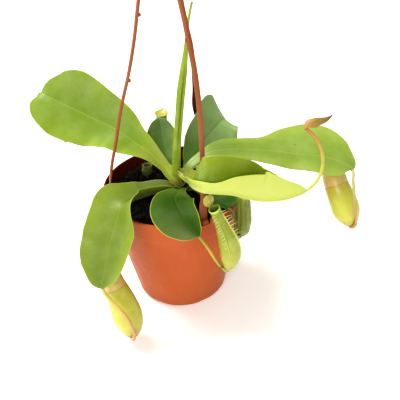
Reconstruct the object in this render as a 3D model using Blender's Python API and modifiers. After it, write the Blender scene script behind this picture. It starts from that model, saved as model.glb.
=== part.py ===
"""Potted tropical pitcher plant in a small plastic hanging pot with its moulded hanger.

All sizes are in millimetres and are turned into metres when a mesh is made. The origin is the
centre of the pot's underside, +Z is up and the front of the plant looks along -Y.
"""
import math

import bpy
import numpy as np

MM = 0.001
NAME = "tropical_pitcher_plant"
GAP = 0.3

RIM_R = 60.0
BASE_R = 40.0
POT_H = 107.0
WALL = 1.6
FLOOR = 2.2
LEDGE_Z = 87.0
SOIL_Z = 94.0
HEAP, HEAP_TURN = 6.0, 2.3
POT_STEPS = 48

STEM_X, STEM_Y = 1.5, -6.0
STEM_R = 5.4
STEM_FOOT, STEM_TOP = 80.0, 117.5
SPROUT = (-25.5, 31.0)

APEX = (2.0, -14.0, 329.0)
CLIP_ANGLES = {"left": 183.0, "front": -66.0, "back": 57.0}

for old in list(bpy.data.objects):
    bpy.data.objects.remove(old, do_unlink=True)

collection = bpy.data.collections.new(NAME)
bpy.context.scene.collection.children.link(collection)
cutters = bpy.data.collections.new("cutters")
bpy.context.scene.collection.children.link(cutters)


def material(name, colour, roughness=0.5):
    mat = bpy.data.materials.new(name)
    mat.use_nodes = True
    shader = mat.node_tree.nodes["Principled BSDF"]
    shader.inputs["Base Color"].default_value = (*colour, 1.0)
    shader.inputs["Roughness"].default_value = roughness
    return mat


def mesh_object(name, verts, faces, into=None):
    """A mesh object from points in millimetres, in the object's collection or in the given one."""
    mesh = bpy.data.meshes.new(name)
    mesh.from_pydata((np.asarray(verts, float) * MM).tolist(), [], [tuple(map(int, f)) for f in faces])
    mesh.validate()
    obj = bpy.data.objects.new(name, mesh)
    (into or collection).objects.link(obj)
    if into is cutters:
        obj.hide_render = True
        obj.display_type = "WIRE"
    return obj


def apply_modifiers(obj):
    deps = bpy.context.evaluated_depsgraph_get()
    mesh = bpy.data.meshes.new_from_object(obj.evaluated_get(deps))
    obj.modifiers.clear()
    obj.data = mesh
    return obj


def boolean(obj, other, operation):
    mod = obj.modifiers.new("cut", "BOOLEAN")
    mod.operation = operation
    mod.solver = "EXACT"
    mod.object = other
    apply_modifiers(obj)
    if operation == "UNION":
        bpy.data.objects.remove(other, do_unlink=True)
    return obj


def smooth(x):
    x = np.clip(x, 0.0, 1.0)
    return x * x * (3 - 2 * x)


def unit(a):
    a = np.asarray(a, float)
    return a / np.maximum(np.linalg.norm(a, axis=-1, keepdims=True), 1e-9)


def curve(points, dense=800):
    """Smooth cubic curve through the points: positions, arc fractions, fractions of the points, length."""
    p = np.asarray(points, float)
    t = np.concatenate([[0], np.cumsum(np.linalg.norm(np.diff(p, axis=0), axis=1) ** 0.5)])
    h = np.diff(t)[:, None]
    slope = np.diff(p, axis=0) / h
    m = np.empty_like(p)
    m[1:-1] = (slope[:-1] * h[1:] + slope[1:] * h[:-1]) / (h[1:] + h[:-1])
    m[0] = 1.5 * slope[0] - 0.5 * m[1]
    m[-1] = 1.5 * slope[-1] - 0.5 * m[-2]
    u = np.unique(np.concatenate([np.linspace(0, t[-1], dense), t]))
    i = np.clip(np.searchsorted(t, u, side="right") - 1, 0, len(p) - 2)
    x = ((u - t[i]) / h[i, 0])[:, None]
    hh = h[i]
    q = ((1 + 2 * x) * (1 - x) ** 2 * p[i] + x * (1 - x) ** 2 * hh * m[i]
         + x * x * (3 - 2 * x) * p[i + 1] + x * x * (x - 1) * hh * m[i + 1])
    arc = np.concatenate([[0], np.cumsum(np.linalg.norm(np.diff(q, axis=0), axis=1))])
    return q, arc / arc[-1], arc[np.searchsorted(u, t)] / arc[-1], arc[-1]


def curve_at(points, s):
    """Points and unit tangents at fractions s of the curve's length, with its knots and length."""
    q, a, k, length = curve(points)

    def read(f):
        return np.stack([np.interp(f, a, q[:, j]) for j in range(3)], -1)

    s = np.asarray(s, float)
    return read(s), unit(read(np.clip(s + 0.004, 0, 1)) - read(np.clip(s - 0.004, 0, 1))), k, length


def track(value, k, s):
    """A number, or a list with one entry per control point, read at the fractions s."""
    v = np.asarray(value, float)
    if v.ndim == 0:
        return np.full(len(s), float(v))
    if v.ndim == 1:
        return np.interp(s, k[:len(v)], v)
    return np.stack([np.interp(s, k[:len(v)], v[:, j]) for j in range(3)], -1)


def eased(values, x):
    """Catmull-Rom reading of evenly spaced values at x in 0..1."""
    w = np.asarray(values, float)
    n = len(w) - 1
    xs = np.clip(x, 0, 1) * n
    i = np.clip(xs.astype(int), 0, n - 1)
    f = xs - i
    e = np.concatenate([[2 * w[0] - w[1]], w, [2 * w[-1] - w[-2]]])
    a, b, c, d = e[i], e[i + 1], e[i + 2], e[i + 3]
    return b + 0.5 * f * ((c - a) + f * ((2 * a - 5 * b + 4 * c - d) + f * (3 * b - a - 3 * c + d)))


def loft_faces(rings, m, blade=None):
    """Triangles of a closed loft; on a blade the diagonals lie alike on its two faces."""
    faces = []
    for i in range(rings - 1):
        for j in range(m):
            a, b = i * m + j, i * m + (j + 1) % m
            c, d = (i + 1) * m + (j + 1) % m, (i + 1) * m + j
            if blade and j >= blade:
                faces += [(a, d, b), (b, d, c)]
            else:
                faces += [(a, c, b), (a, d, c)]
    last = (rings - 1) * m
    if blade:
        for j in range(blade - 1):
            a, b, c, d = j, j + 1, m - 2 - j, m - 1 - j
            faces += [(a, b, c), (a, c, d)]
            faces += [(last + a, last + d, last + c), (last + a, last + c, last + b)]
    else:
        faces.append(tuple(range(m)))
        faces.append(tuple(last + j for j in reversed(range(m))))
    return faces


def outward(obj):
    """Turn the faces of a closed mesh outwards by the sign of its volume."""
    mesh = obj.data
    total = 0.0
    for poly in mesh.polygons:
        v = [mesh.vertices[i].co for i in poly.vertices]
        for j in range(1, len(v) - 1):
            total += v[0].dot(v[j].cross(v[j + 1]))
    if total < 0:
        mesh.flip_normals()
    return obj


STATIONS = (-1.0, -0.55, 0.0, 0.55, 1.0)


def leaf_rings(spec, stations=STATIONS, blade_n=22, tendril_n=12, stalk_n=4):
    """Rings of a leaf. The midrib is a smooth curve through the path; the blade runs between two of
    its points with a half width on each side read from a list and closed by a quarter ellipse at the
    tip; each half is an arc of the cup angle turned by the fold angle; a rib thickens the middle
    underneath; past the tip the section turns into the round one of the tendril."""
    path = spec["path"]
    k = curve(path)[2]
    sb, st = k[spec["base"]], k[spec["tip"]]
    x = np.linspace(0, 1, blade_n + 1)
    x = np.where(x > 0.5, 1 - 0.5 * ((1 - x) / 0.5) ** 1.2, x)
    s = np.concatenate([np.linspace(0, sb, stalk_n, endpoint=False), sb + (st - sb) * x])
    if st < 0.999:
        s = np.concatenate([s, np.linspace(st, 1, tendril_n + 1)[1:]])
    else:
        s[-1] = 1.0
    p, t, k, length = curve_at(path, s)
    face = track(spec["face"], k, s)
    up = unit(face - (face * t).sum(-1, keepdims=True) * t)
    side = np.cross(t, up)
    xb = np.clip((s - sb) / (st - sb), 0, 1)
    start = 1 - spec.get("cap", 0.22)
    close = np.sqrt(np.clip(1 - (np.clip(xb - start, 0, 1) / (1 - start)) ** 2, 0, 1))
    tendril = track(spec.get("tendril", 1.3), k, s)
    blend = smooth((s - sb) / (0.1 * (st - sb)) + 0.5)
    stalk = track(spec.get("stalk", 4.0), k, s)
    edge, mid = spec.get("thick", (0.8, 2.0))
    nv = len(stations)
    top = np.zeros((len(s), nv, 2))
    low = np.zeros((len(s), nv, 2))
    for j, v in enumerate(stations):
        half = 0 if v < 0 else 1
        sign = -1 if v < 0 else 1
        w = eased(spec["widths"][half], xb) * close + 0.8 * tendril * (1 - close)
        w = np.where(s < st, stalk * (1 - blend) + w * blend, 0.8 * tendril)
        cup = track(spec.get("cup", (0.3, 0.3))[half], k, s)
        cup = np.where(np.abs(cup) < 1e-3, 1e-3, cup)
        fold = track(spec.get("fold", (0.1, 0.1))[half], k, s)
        lat = w * np.sin(cup * abs(v)) / cup
        rise = w * (1 - np.cos(cup * abs(v))) / cup
        if "wave" in spec:
            size, count, phase = spec["wave"]
            ripple = np.sin(2 * math.pi * count * xb + phase + 1.3 * half) * np.sin(math.pi * xb)
            rise = rise + size * v * v * ripple
        across = lat * np.cos(fold) - rise * np.sin(fold)
        height = lat * np.sin(fold) + rise * np.cos(fold)
        angle = fold + cup * abs(v)
        normal = np.stack([-np.sin(angle) * sign, np.cos(angle)], -1)
        centre = np.stack([across * sign, height], -1)
        rib = np.exp(-(abs(v) * w / 2.0) ** 2)
        top[:, j] = centre + normal * 0.5 * edge
        low[:, j] = centre - normal * (0.5 * edge + (mid - edge) * rib)[:, None]
    ring = np.concatenate([top, low[:, ::-1]], 1)
    turn = math.pi - math.pi * (np.arange(2 * nv) + 0.5) / nv
    circle = np.stack([tendril[:, None] * np.cos(turn), tendril[:, None] * np.sin(turn)], -1)
    before, after = spec.get("round", (3.0, 5.0))
    k_round = smooth((s - (st - before / length)) / ((before + after) / length))[:, None, None]
    if st >= 0.999:
        k_round = np.zeros_like(k_round)
    ring = ring * (1 - k_round) + circle * k_round
    return p[:, None] + ring[..., :1] * side[:, None] + ring[..., 1:] * up[:, None]


def carried_frame(p, t, last):
    """A direction carried along the curve from its end back to its start without twist."""
    n = np.zeros_like(p)
    v = np.asarray(last, float)
    for i in range(len(p) - 1, -1, -1):
        v = v - (v @ t[i]) * t[i]
        v = v / np.linalg.norm(v)
        n[i] = v
    return n


def pitcher_rings(spec, around=14, outer_n=13, inner_n=7):
    """Rings of a hollow pitcher: the outside grows from the stalk along a bent axis to an oblique mouth,
    turns over a flared lip and comes back inside at one wall's distance. Two low wings run up the front."""
    s = np.concatenate([np.linspace(0, 0.3, 5, endpoint=False), np.linspace(0.3, 1, outer_n - 4)])
    p, t, k, length = curve_at(spec["path"], s)
    front = carried_frame(p, t, spec["front"])
    side = np.cross(t, front)
    r = eased(spec["radii"], s)
    phi = 2 * math.pi * np.arange(around) / around
    wing_at = np.where((np.arange(around) == 1) | (np.arange(around) == around - 1), 1.0, 0.0)
    tilt = spec.get("tilt", 0.5)
    lip = spec.get("lip", 1.2)
    wall = spec.get("wall", 1.0)

    def ring(i, radius, lift, wing=0.0, shear=0.0):
        rad = radius + wing * wing_at
        rise = lift - shear * tilt * radius * np.cos(phi)
        return (p[i] + rad[:, None] * (np.cos(phi)[:, None] * front[i] + np.sin(phi)[:, None] * side[i])
                + rise[:, None] * t[i])

    rings = []
    for i, f in enumerate(s):
        shear = float(smooth(np.array((f - 0.72) / 0.28)))
        fade = smooth(np.array((f - 0.2) / 0.25)) * smooth(np.array((0.97 - f) / 0.12))
        wing = spec.get("wing", 1.2) * float(fade)
        rings.append(ring(i, r[i], 0.0, wing, shear))
    end = len(s) - 1
    rings.append(ring(end, r[end] + lip, 0.2, 0.0, 1.0))
    rings.append(ring(end, r[end] + 0.7 * lip, 0.2 + 0.9 * lip, 0.0, 1.0))
    rings.append(ring(end, r[end] - 0.8 * lip, 0.9 * lip, 0.0, 1.0))
    rings.append(ring(end, r[end] - wall, -0.4, 0.0, 1.0))
    picks = np.linspace(end - 1, spec.get("floor", 4), inner_n).round().astype(int)
    for i in picks:
        shear = float(smooth(np.array((s[i] - 0.72) / 0.28)))
        rings.append(ring(i, max(r[i] - wall, 0.6), 0.0, 0.0, shear))
    return np.array(rings), (p[end], t[end], front[end], side[end], r[end])


def lid_mesh(spec, mouth):
    """An oval lid on a short neck at the back of the mouth, lifted by the lid angle."""
    c, t, front, side, r = mouth
    length, width, lift = spec["lid"]
    hinge = c - front * (r + 0.2) + t * (spec.get("tilt", 0.5) * r + 0.3)
    along = unit(math.cos(lift) * front + math.sin(lift) * t)
    normal = np.cross(along, side)
    xs = np.array([-0.06, 0.08, 0.25, 0.45, 0.65, 0.83, 0.95, 1.0])
    ws = np.array([1.6, 2.2, 0.72 * width, 0.98 * width, width, 0.72 * width, 0.4 * width, 0.12 * width])
    ws[:2] = np.minimum(ws[:2], width)
    rings = []
    for x, w in zip(xs, ws):
        base = hinge + along * length * x + normal * (-0.12 * length * math.sin(math.pi * max(x, 0)))
        row = []
        for v, face in ((-1, 1), (0, 1), (1, 1), (1, -1), (0, -1), (-1, -1)):
            droop = 0.25 * w * v * v
            row.append(base + side * w * v + normal * (droop - face * 0.5))
        rings.append(row)
    return np.array(rings)


def finish(obj, colour, roughness=0.5):
    outward(obj)
    obj.data.materials.clear()
    obj.data.materials.append(material(obj.name, colour, roughness))
    return obj


def cylinder(name, radius, z0, z1, x=0.0, y=0.0, steps=24, radius_top=None):
    """A closed upright cylinder or cone, as a cutter or a body."""
    top = radius if radius_top is None else radius_top
    a = 2 * math.pi * np.arange(steps) / steps
    low = np.stack([x + radius * np.cos(a), y + radius * np.sin(a), np.full(steps, z0)], -1)
    high = np.stack([x + top * np.cos(a), y + top * np.sin(a), np.full(steps, z1)], -1)
    return outward(mesh_object(name, np.concatenate([low, high]), loft_faces(2, steps), cutters))


def box(name, centre, size, angle, tip=0.0):
    """A box cutter turned by an angle about Z after being tipped about its own Y axis."""
    half = np.array(size) / 2
    corners = np.array([(x, y, z) for z in (-1, 1) for x, y in ((-1, -1), (1, -1), (1, 1), (-1, 1))]) * half
    ct, st = math.cos(tip), math.sin(tip)
    ca, sa = math.cos(angle), math.sin(angle)
    x = corners[:, 0] * ct + corners[:, 2] * st
    z = -corners[:, 0] * st + corners[:, 2] * ct
    pts = np.stack([x * ca - corners[:, 1] * sa, x * sa + corners[:, 1] * ca, z], -1) + np.array(centre)
    return outward(mesh_object(name, pts, loft_faces(2, 4), cutters))


def screw(name, profile, steps):
    """A solid of revolution made with the Screw modifier; the profile runs up inside, down outside."""
    mesh = bpy.data.meshes.new(name)
    pts = [(r * MM, 0.0, z * MM) for r, z in profile]
    mesh.from_pydata(pts, [(i, i + 1) for i in range(len(pts) - 1)], [])
    obj = bpy.data.objects.new(name, mesh)
    collection.objects.link(obj)
    mod = obj.modifiers.new("turn", "SCREW")
    mod.steps = steps
    mod.render_steps = steps
    mod.use_merge_vertices = True
    mod.merge_threshold = 0.00005
    mod.use_smooth_shade = False
    return outward(apply_modifiers(obj))


def outer_radius(z):
    return BASE_R + (RIM_R - BASE_R) * z / POT_H


def build_pot():
    rim_in = RIM_R - WALL
    inside = [(0, FLOOR), (outer_radius(FLOOR) - WALL - 1.5, FLOOR), (outer_radius(4.0) - WALL, 4.0),
              (outer_radius(LEDGE_Z - 2) - WALL - 0.5, LEDGE_Z - 2),
              (outer_radius(LEDGE_Z + 1) - WALL, LEDGE_Z + 1), (rim_in, POT_H - 0.4)]
    outside = [(rim_in + 0.4, POT_H), (RIM_R - 0.4, POT_H), (RIM_R, POT_H - 0.5),
               (outer_radius(LEDGE_Z + 0.8), LEDGE_Z + 0.8), (outer_radius(LEDGE_Z) - 0.6, LEDGE_Z - 0.6),
               (outer_radius(2.0), 2.0), (BASE_R - 1.2, 0.0), (0, 0)]
    pot = screw("pot", inside + outside, POT_STEPS)
    for i in range(6):
        a = math.radians(-121 + 60 * i)
        r = BASE_R + 2.2
        cut = box("flat_%d" % i, (r * math.cos(a), r * math.sin(a), 0.0), (6.0, 30.0, 9.0), a, 0.75)
        boolean(pot, cut, "DIFFERENCE")
    for name, degrees in CLIP_ANGLES.items():
        a = math.radians(degrees)
        c = (RIM_R * math.cos(a), RIM_R * math.sin(a), POT_H - 1.5)
        cut = box("notch_" + name, c, (9.0, 8.0, 7.0), a)
        boolean(pot, cut, "DIFFERENCE")
    return finish(pot, (0.62, 0.16, 0.06), 0.42)


def build_soil():
    """The potting mix: a plug that fills the pot, its top raised into lumps by sums of sines."""
    top_r = outer_radius(SOIL_Z - 4) - WALL - GAP - 0.35
    low_r = outer_radius(4.0) - WALL - GAP - 0.35
    below = LEDGE_Z - 3
    profile = [(0, SOIL_Z)] + [(r, SOIL_Z) for r in (9, 19, 29, 39, 48, top_r - 3)]
    profile += [(top_r - 0.4, SOIL_Z - 3.5), (outer_radius(below) - WALL - GAP - 0.9, below),
                (low_r, 5.0), (outer_radius(FLOOR) - WALL - 2.6, FLOOR + GAP), (0, FLOOR + GAP)]
    soil = screw("soil", profile, 30)
    for v in soil.data.vertices:
        x, y, z = v.co / MM
        r = math.hypot(x, y)
        if z > SOIL_Z - 1 and r < top_r - 1:
            lump = (1.3 * math.sin(0.31 * x + 0.4) * math.sin(0.27 * y + 1.1)
                    + 0.9 * math.sin(0.71 * x + 0.53 * y) + 0.6 * math.sin(0.95 * y - 0.8 * x + 2.0))
            mound = 2.5 * math.exp(-((x - STEM_X) ** 2 + (y - STEM_Y) ** 2) / 300.0)
            facing = max(0.0, math.cos(math.atan2(y, x) - HEAP_TURN)) ** 2
            heaped = HEAP * facing * min(max((r - 36) / 13, 0.0), 1.0)
            v.co.z = (SOIL_Z + lump + mound + heaped - 1.2 * (r / top_r) ** 3) * MM
    hole = cylinder("stem_hole", STEM_R + GAP + 0.1, STEM_FOOT - GAP, SOIL_Z + 20, STEM_X, STEM_Y)
    boolean(soil, hole, "DIFFERENCE")
    hole = cylinder("sprout_hole", 2.0 + GAP, SOIL_Z - 8 - GAP, SOIL_Z + 20, SPROUT[0], SPROUT[1], 12)
    boolean(soil, hole, "DIFFERENCE")
    dimple = cylinder("sprout_dimple", 5.6, SOIL_Z + 0.1, SOIL_Z + 20, SPROUT[0], SPROUT[1], 16)
    boolean(soil, dimple, "DIFFERENCE")
    return finish(soil, (0.02, 0.013, 0.01), 0.95)


def build_sprout():
    """A small round young pitcher that stands in its own hole in the soil."""
    x, y = SPROUT
    rings = []
    for z, r, dx in ((-8, 1.9, 0), (-1, 1.9, 0), (1.5, 2.6, 0), (4.5, 4.6, 0.2), (8, 5.2, 0.4),
                     (11, 4.4, 0.8), (13, 3.0, 1.2), (14.2, 1.4, 1.5)):
        a = 2 * math.pi * np.arange(12) / 12
        ring = [x + dx + r * np.cos(a), y + 0.9 * r * np.sin(a), np.full(12, SOIL_Z + z)]
        rings.append(np.stack(ring, -1))
    obj = mesh_object("sprout", np.concatenate(rings), loft_faces(len(rings), 12))
    return finish(obj, (0.17, 0.2, 0.05))


STEM_RINGS = ((STEM_FOOT, 3.6), (STEM_FOOT + 2, STEM_R), (SOIL_Z + 5, STEM_R), (SOIL_Z + 8, STEM_R),
              (SOIL_Z + 12, 5.0), (110, 5.3), (113.5, 4.9), (116, 4.4), (STEM_TOP, 3.6))
SEAT_RINGS = ((STEM_FOOT, 6.2), (STEM_FOOT + 2, 6.2), (SOIL_Z + 5, 5.8), (SOIL_Z + 8, 5.8),
              (SOIL_Z + 12, 5.4), (110, 5.7), (113.5, 5.3), (116, 4.8), (STEM_TOP + 0.4, 4.0))


def stem_body(name, stations, into=None):
    """A lathed column that leans a little above the soil, from heights and radii."""
    a = 2 * math.pi * np.arange(16) / 16
    rings = []
    for z, r in stations:
        lean = (z - STEM_FOOT) / (STEM_TOP - STEM_FOOT) if z > SOIL_Z + 6 else 0.0
        x = STEM_X + lean + r * np.cos(a)
        y = STEM_Y - lean + r * np.sin(a)
        rings.append(np.stack([x, y, np.full(16, z)], -1))
    return outward(mesh_object(name, np.concatenate(rings), loft_faces(len(rings), 16), into))


def build_stem():
    """A short upright stem with a swelling at each leaf base, standing in its hole."""
    return finish(stem_body("stem", STEM_RINGS), (0.25, 0.3, 0.08))


ARMS = {
    "left": [(-53.6, -2.8, 99.5), (-53.4, -2.8, 107), (-52, -3, 116), (-49, -3, 130), (-43, -3, 150.5),
             (-36, -3, 176.5), (-25.5, -4, 208.5), (-19, -5, 232), (-14.5, -6, 252), (-11.5, -7, 266),
             (-5, -10.5, 300), APEX],
    "front": [(22.4, -50.4, 99.5), (22.3, -50.6, 107), (22.8, -50, 117), (22.8, -47.5, 130.5),
              (23.8, -46.5, 151), (24.2, -48, 173), (23.5, -48.5, 203), (22, -46, 223), (19.5, -42, 241.5),
              (16.5, -35, 260), (9, -24, 296), APEX],
    "back": [(29.6, 45.2, 99.5), (29.4, 45.0, 107), (28, 44.5, 119), (23.5, 42, 140), (20.5, 37.5, 157),
             (21.5, 30, 178), (21.5, 21.5, 199.5), (20.5, 11.5, 219.5), (17.5, 1, 241), (15, -4, 260),
             (8.5, -10, 296), APEX],
}


def build_arm(name, path):
    """One arm: a bar with a low ridge outside that widens into a flat clip at the rim."""
    n = 22
    s = np.concatenate([[0, 0.02, 0.045, 0.07], np.linspace(0.1, 1, n - 3)])
    p, t, k, length = curve_at(path, s)
    a = math.radians(CLIP_ANGLES[name])
    out = carried_frame(p[::-1], t[::-1], (math.cos(a), math.sin(a), 0.0))[::-1]
    side = np.cross(t, out)
    low = 1 - smooth((s - 0.05) / 0.07)
    w = 1.7 + 1.4 * low
    d = 1.25 - 0.2 * low
    shape = [(-1, -0.6), (-0.6, -1), (0.6, -1), (1, -0.6), (1, 0.4), (0.3, 1.15), (-0.3, 1.15), (-1, 0.4)]
    rings = [p[i] + np.array([side[i] * w[i] * u + out[i] * d[i] * v for u, v in shape])
             for i in range(len(s))]
    faces = loft_faces(len(s), len(shape))
    return outward(mesh_object("arm_" + name, np.concatenate(rings), faces, cutters))


def build_hanger():
    """Three arms, their clips with toes in the rim's notches, small moulding nubs, and the top hook."""
    body = build_arm("left", ARMS["left"])
    for name in ("front", "back"):
        boolean(body, build_arm(name, ARMS[name]), "UNION")
    for name, degrees in CLIP_ANGLES.items():
        a = math.radians(degrees)
        r = 56.6 if name != "left" else 56.2
        toe = box("toe_" + name, (r * math.cos(a), r * math.sin(a), POT_H - 3.0), (5.2, 5.6, 3.2), a)
        boolean(body, toe, "UNION")
    for name, at, shift in (("left", 0.655, 1.5), ("left", 0.445, 1.5), ("front", 0.61, -1.4)):
        p = curve_at(ARMS[name], [at])[0][0]
        nub = box("nub", (p[0] + shift, p[1], p[2]), (2.4, 1.8, 2.2), 0.2)
        boolean(body, nub, "UNION")
    x, y, z = APEX
    boss = cylinder("boss", 5.2, z - 9.0, z + 6.0, x, y, 16, 3.6)
    boolean(body, boss, "UNION")
    path = [(x, y, z + 2), (x, y, z + 10), (x, y, z + 17), (x + 6.5, y, z + 22), (x + 9.5, y, z + 30),
            (x + 6, y, z + 38), (x - 2, y, z + 41.5), (x - 10, y, z + 38), (x - 12.5, y, z + 30.5)]
    s = np.linspace(0, 1, 19)
    p, t, k, length = curve_at(path, s)
    out = carried_frame(p, t, (0.0, 1.0, 0.0))
    side = np.cross(t, out)
    a = 2 * math.pi * np.arange(8) / 8
    r = np.where(s > 0.94, 1.9, 2.4)
    rings = [p[i] + r[i] * (np.cos(a)[:, None] * out[i] + np.sin(a)[:, None] * side[i])
             for i in range(len(s))]
    hook = outward(mesh_object("hook", np.concatenate(rings), loft_faces(len(s), 8), cutters))
    boolean(body, hook, "UNION")
    body.name = "hanger"
    cutters.objects.unlink(body)
    collection.objects.link(body)
    body.hide_render = False
    body.display_type = "TEXTURED"
    return finish(body, (0.6, 0.15, 0.07), 0.4)


LEAVES = {
    "leaf_left": dict(
        path=[(-1.4, -5.2, 112), (-7, -3.5, 121.5), (-20, 5, 135), (-32.5, 13.5, 141.5),
              (-45.5, 22, 148.5), (-65.5, 29, 156.5), (-82, 34, 164.5), (-98.5, 39, 172),
              (-107, 44, 174), (-113, 53, 165), (-112, 59.5, 149.5), (-107, 62, 133.5),
              (-103.6, 61.2, 124.5), (-101.38, 60.67, 120.72)],
        base=1,
        tip=8,
        stalk=[2.8, 4.5, 6],
        widths=([5, 8.5, 16, 21.5, 25, 31, 34, 34, 33], [5, 8.5, 13, 19, 25, 29, 31.5, 31, 29.5]),
        face=[(-.5, -.2, .8), (0.2, -.4, .8), (.35, -.6, .65), (.35, -.76, .52), (.35, -.76, .52),
              (.35, -.74, .55), (.35, -.7, .6), (.35, -.65, .65), (.2, -.6, .7)],
        cup=(0.5, 0.5),
        tendril=1.2,
        colour=(0.33, 0.52, 0.1)),
    "leaf_front_left": dict(
        path=[(-1.2, -9.2, 111), (-7.5, -17, 117.5), (-12.5, -28, 129.5), (-18.5, -38, 136),
              (-28, -48, 134), (-39, -56, 127), (-45, -62, 112.5), (-49.5, -68, 97), (-57, -74, 76),
              (-57.5, -79, 62), (-51, -85, 57), (-46, -88.5, 52), (-42, -90.5, 45.5), (-38.8, -91, 35),
              (-37.8, -89, 25), (-38.55, -85.82, 19.38)],
        base=1,
        tip=9,
        stalk=[3.2, 4.5, 5.5, 5],
        widths=([6, 8, 9.5, 12, 16, 19, 18.5, 16, 13, 9.5, 7],
                [4.5, 5.5, 6, 9.5, 16, 22.5, 25, 24.3, 21, 15.5, 10]),
        face=[(-.2, -.2, 1), (-.2, -.3, 1), (-.3, -.4, 1), (-.5, -.6, .8), (-.55, -.7, .6),
              (-.5, -.8, .4), (-.45, -.85, .3), (-.4, -.9, .2), (-.3, -.95, .1), (-.3, -.95, .1)],
        cup=(0.6, 0.6),
        fold=([0.9, 1.1, 1.0, 0.6, 0.1, -0.1], [0.5, 0.5, 0.4, 0.1, -0.1]),
        tendril=1.3,
        colour=(0.2, 0.4, 0.07)),
    "leaf_front": dict(
        path=[(1.2, -10.5, 106), (2, -20, 111), (1, -31, 114), (2.5, -44, 115.5), (7, -56, 113.5),
              (12.5, -63.5, 108), (18, -67.5, 102.5), (24.5, -68.5, 91), (30, -68, 78), (33, -67.5, 72),
              (35.05, -67.05, 69.31)],
        base=1,
        tip=6,
        stalk=[2.6, 4],
        widths=([4, 9, 12.5, 13, 12.5, 12, 11.5, 10.5, 9], [4, 12, 19, 20.5, 21, 20, 17.5, 14.5, 13]),
        face=[(0, -.1, 1), (.1, -.2, 1), (.1, -.35, .9), (.05, -.45, .85), (0, -.6, .75),
              (-.1, -.8, .6), (-.1, -.9, .4)],
        cup=(-0.25, -0.15),
        tendril=1.1,
        cap=0.3,
        colour=(0.06, 0.2, 0.04)),
    "leaf_right_young": dict(
        path=[(4.2, -9.8, 112.8), (7.5, -18.5, 119.8), (14, -42.2, 132.6), (19.1, -57.6, 138.2), (25, -65.6, 141),
              (43, -67.8, 139.5), (63.5, -67, 132), (81, -69, 133.5), (96.5, -67, 138.5), (105, -63, 145),
              (108, -60, 156), (105, -57, 170), (99.5, -54, 178), (95.6, -52, 180.8),
              (95.6, -50.8, 183.2), (97.8, -50.2, 184.6)],
        base=1,
        tip=8,
        stalk=[2.8, 4, 6],
        widths=([5, 8, 12, 17, 25, 27, 26.5, 24.5, 21, 16, 12], [5, 6, 7.2, 8, 8.8, 11, 18.5, 23.3, 24.5, 19.5, 16]),
        face=[(0, .2, 1)] * 9,
        cup=(0.3, 0.35),
        fold=([0.4, 0.7, 1.0, 1.2, 1.25, 1.2, 1.05, 0.9, 0.8],
              [0.6, 0.8, 0.95, 1.05, 1.05, 1.1, 1.15, 1.2, 1.1]),
        tendril=1.2,
        colour=(0.4, 0.6, 0.06)),
    "leaf_right": dict(
        path=[(5.6, -4.8, 112), (13, -1, 122.5), (27, 6, 129), (41, 10, 130), (62, 11, 128.5),
              (82.5, 8, 127.5), (101, 3, 126), (120.5, -3, 126), (135, -9, 123.5), (144.5, -15, 119),
              (143.5, -23.5, 114), (144, -29, 105), (145.5, -31.5, 91.5), (148.2, -30.5, 80.5),
              (149.23, -27.44, 75.5)],
        base=2,
        tip=9,
        stalk=[2.8, 4.5, 6],
        widths=([6, 11, 12, 14, 26, 33, 33, 27, 20], [6, 9.5, 10, 13, 15.5, 16, 17, 18, 20]),
        face=[(0, -.3, 1)] * 2 + [(0, -.35, 1)] * 4 + [(.05, -.4, 1), (.1, -.4, 1), (.2, -.5, .9),
              (.3, -.5, .8)],
        cup=(-0.2, -0.2),
        tendril=1.2,
        colour=(0.32, 0.5, 0.12)),
    "leaf_back_right": dict(
        path=[(5, -2.4, 104.5), (13, 8, 117), (21, 17, 125), (29, 27, 132.5), (37, 37.5, 137),
              (44, 47, 134), (48, 53.5, 124), (50.5, 58.5, 112), (52.5, 62, 98), (53, 63, 89)],
        base=1,
        tip=7,
        stalk=[2.6, 4.5, 6],
        widths=([6, 13, 19.5, 23, 26, 28, 27, 24, 18], [6, 11, 17, 22, 25, 26, 24, 20, 14]),
        face=[(0, -.6, .8), (.1, -.6, .8), (.3, -.65, .6), (.5, -.65, .5), (.58, -.5, .6),
              (.6, -.1, .8), (.65, .4, .6), (.7, .6, .3)],
        cup=(0.25, 0.25),
        tendril=[1.2] * 9 + [2.4],
        colour=(0.07, 0.2, 0.06)),
    "leaf_back_left": dict(
        path=[(-0.4, -1.4, 111), (-4.5, 8, 124), (-7, 18, 133), (-8.5, 26, 141.5), (-9.5, 32, 151),
              (-9.5, 36.5, 149), (-9.5, 39.5, 139), (-9.5, 40, 131), (-9.02, 41.32, 128.5)],
        base=1,
        tip=4,
        stalk=[2.4, 3.5, 5],
        widths=([4, 8, 10.5, 11.5, 12, 12, 11.5, 11, 10], [5, 7.5, 8, 8, 8, 8, 8, 8, 8]),
        face=[(0, -.6, .8)] * 3 + [(0, -.5, .8), (0, -.5, .9)],
        cup=(0.3, 0.3),
        tendril=1.0,
        colour=(0.05, 0.15, 0.08)),
    "leaf_low_right": dict(
        path=[(6.2, -8.8, 104), (17, -15.5, 110.5), (27, -22, 112.5), (32, -29, 108.5), (38, -36, 108),
              (42, -45, 110), (44.5, -50.5, 111), (46.2, -53.5, 107), (46.6, -52.5, 98),
              (47.5, -49.5, 89), (48.68, -46.7, 83.63)],
        base=1,
        tip=4,
        stalk=[2.2, 3],
        widths=([3, 6, 9, 11, 12, 12.5, 12.5, 12, 11], [3, 6, 8, 9.5, 10.5, 11, 11, 10.5, 10]),
        face=[(0, -.3, 1), (0, -.3, 1), (0, -.5, 1), (.2, -.5, 1), (.3, -.5, 1)],
        cup=(0.2, 0.2),
        tendril=0.9,
        colour=(0.04, 0.13, 0.04)),
}

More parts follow.
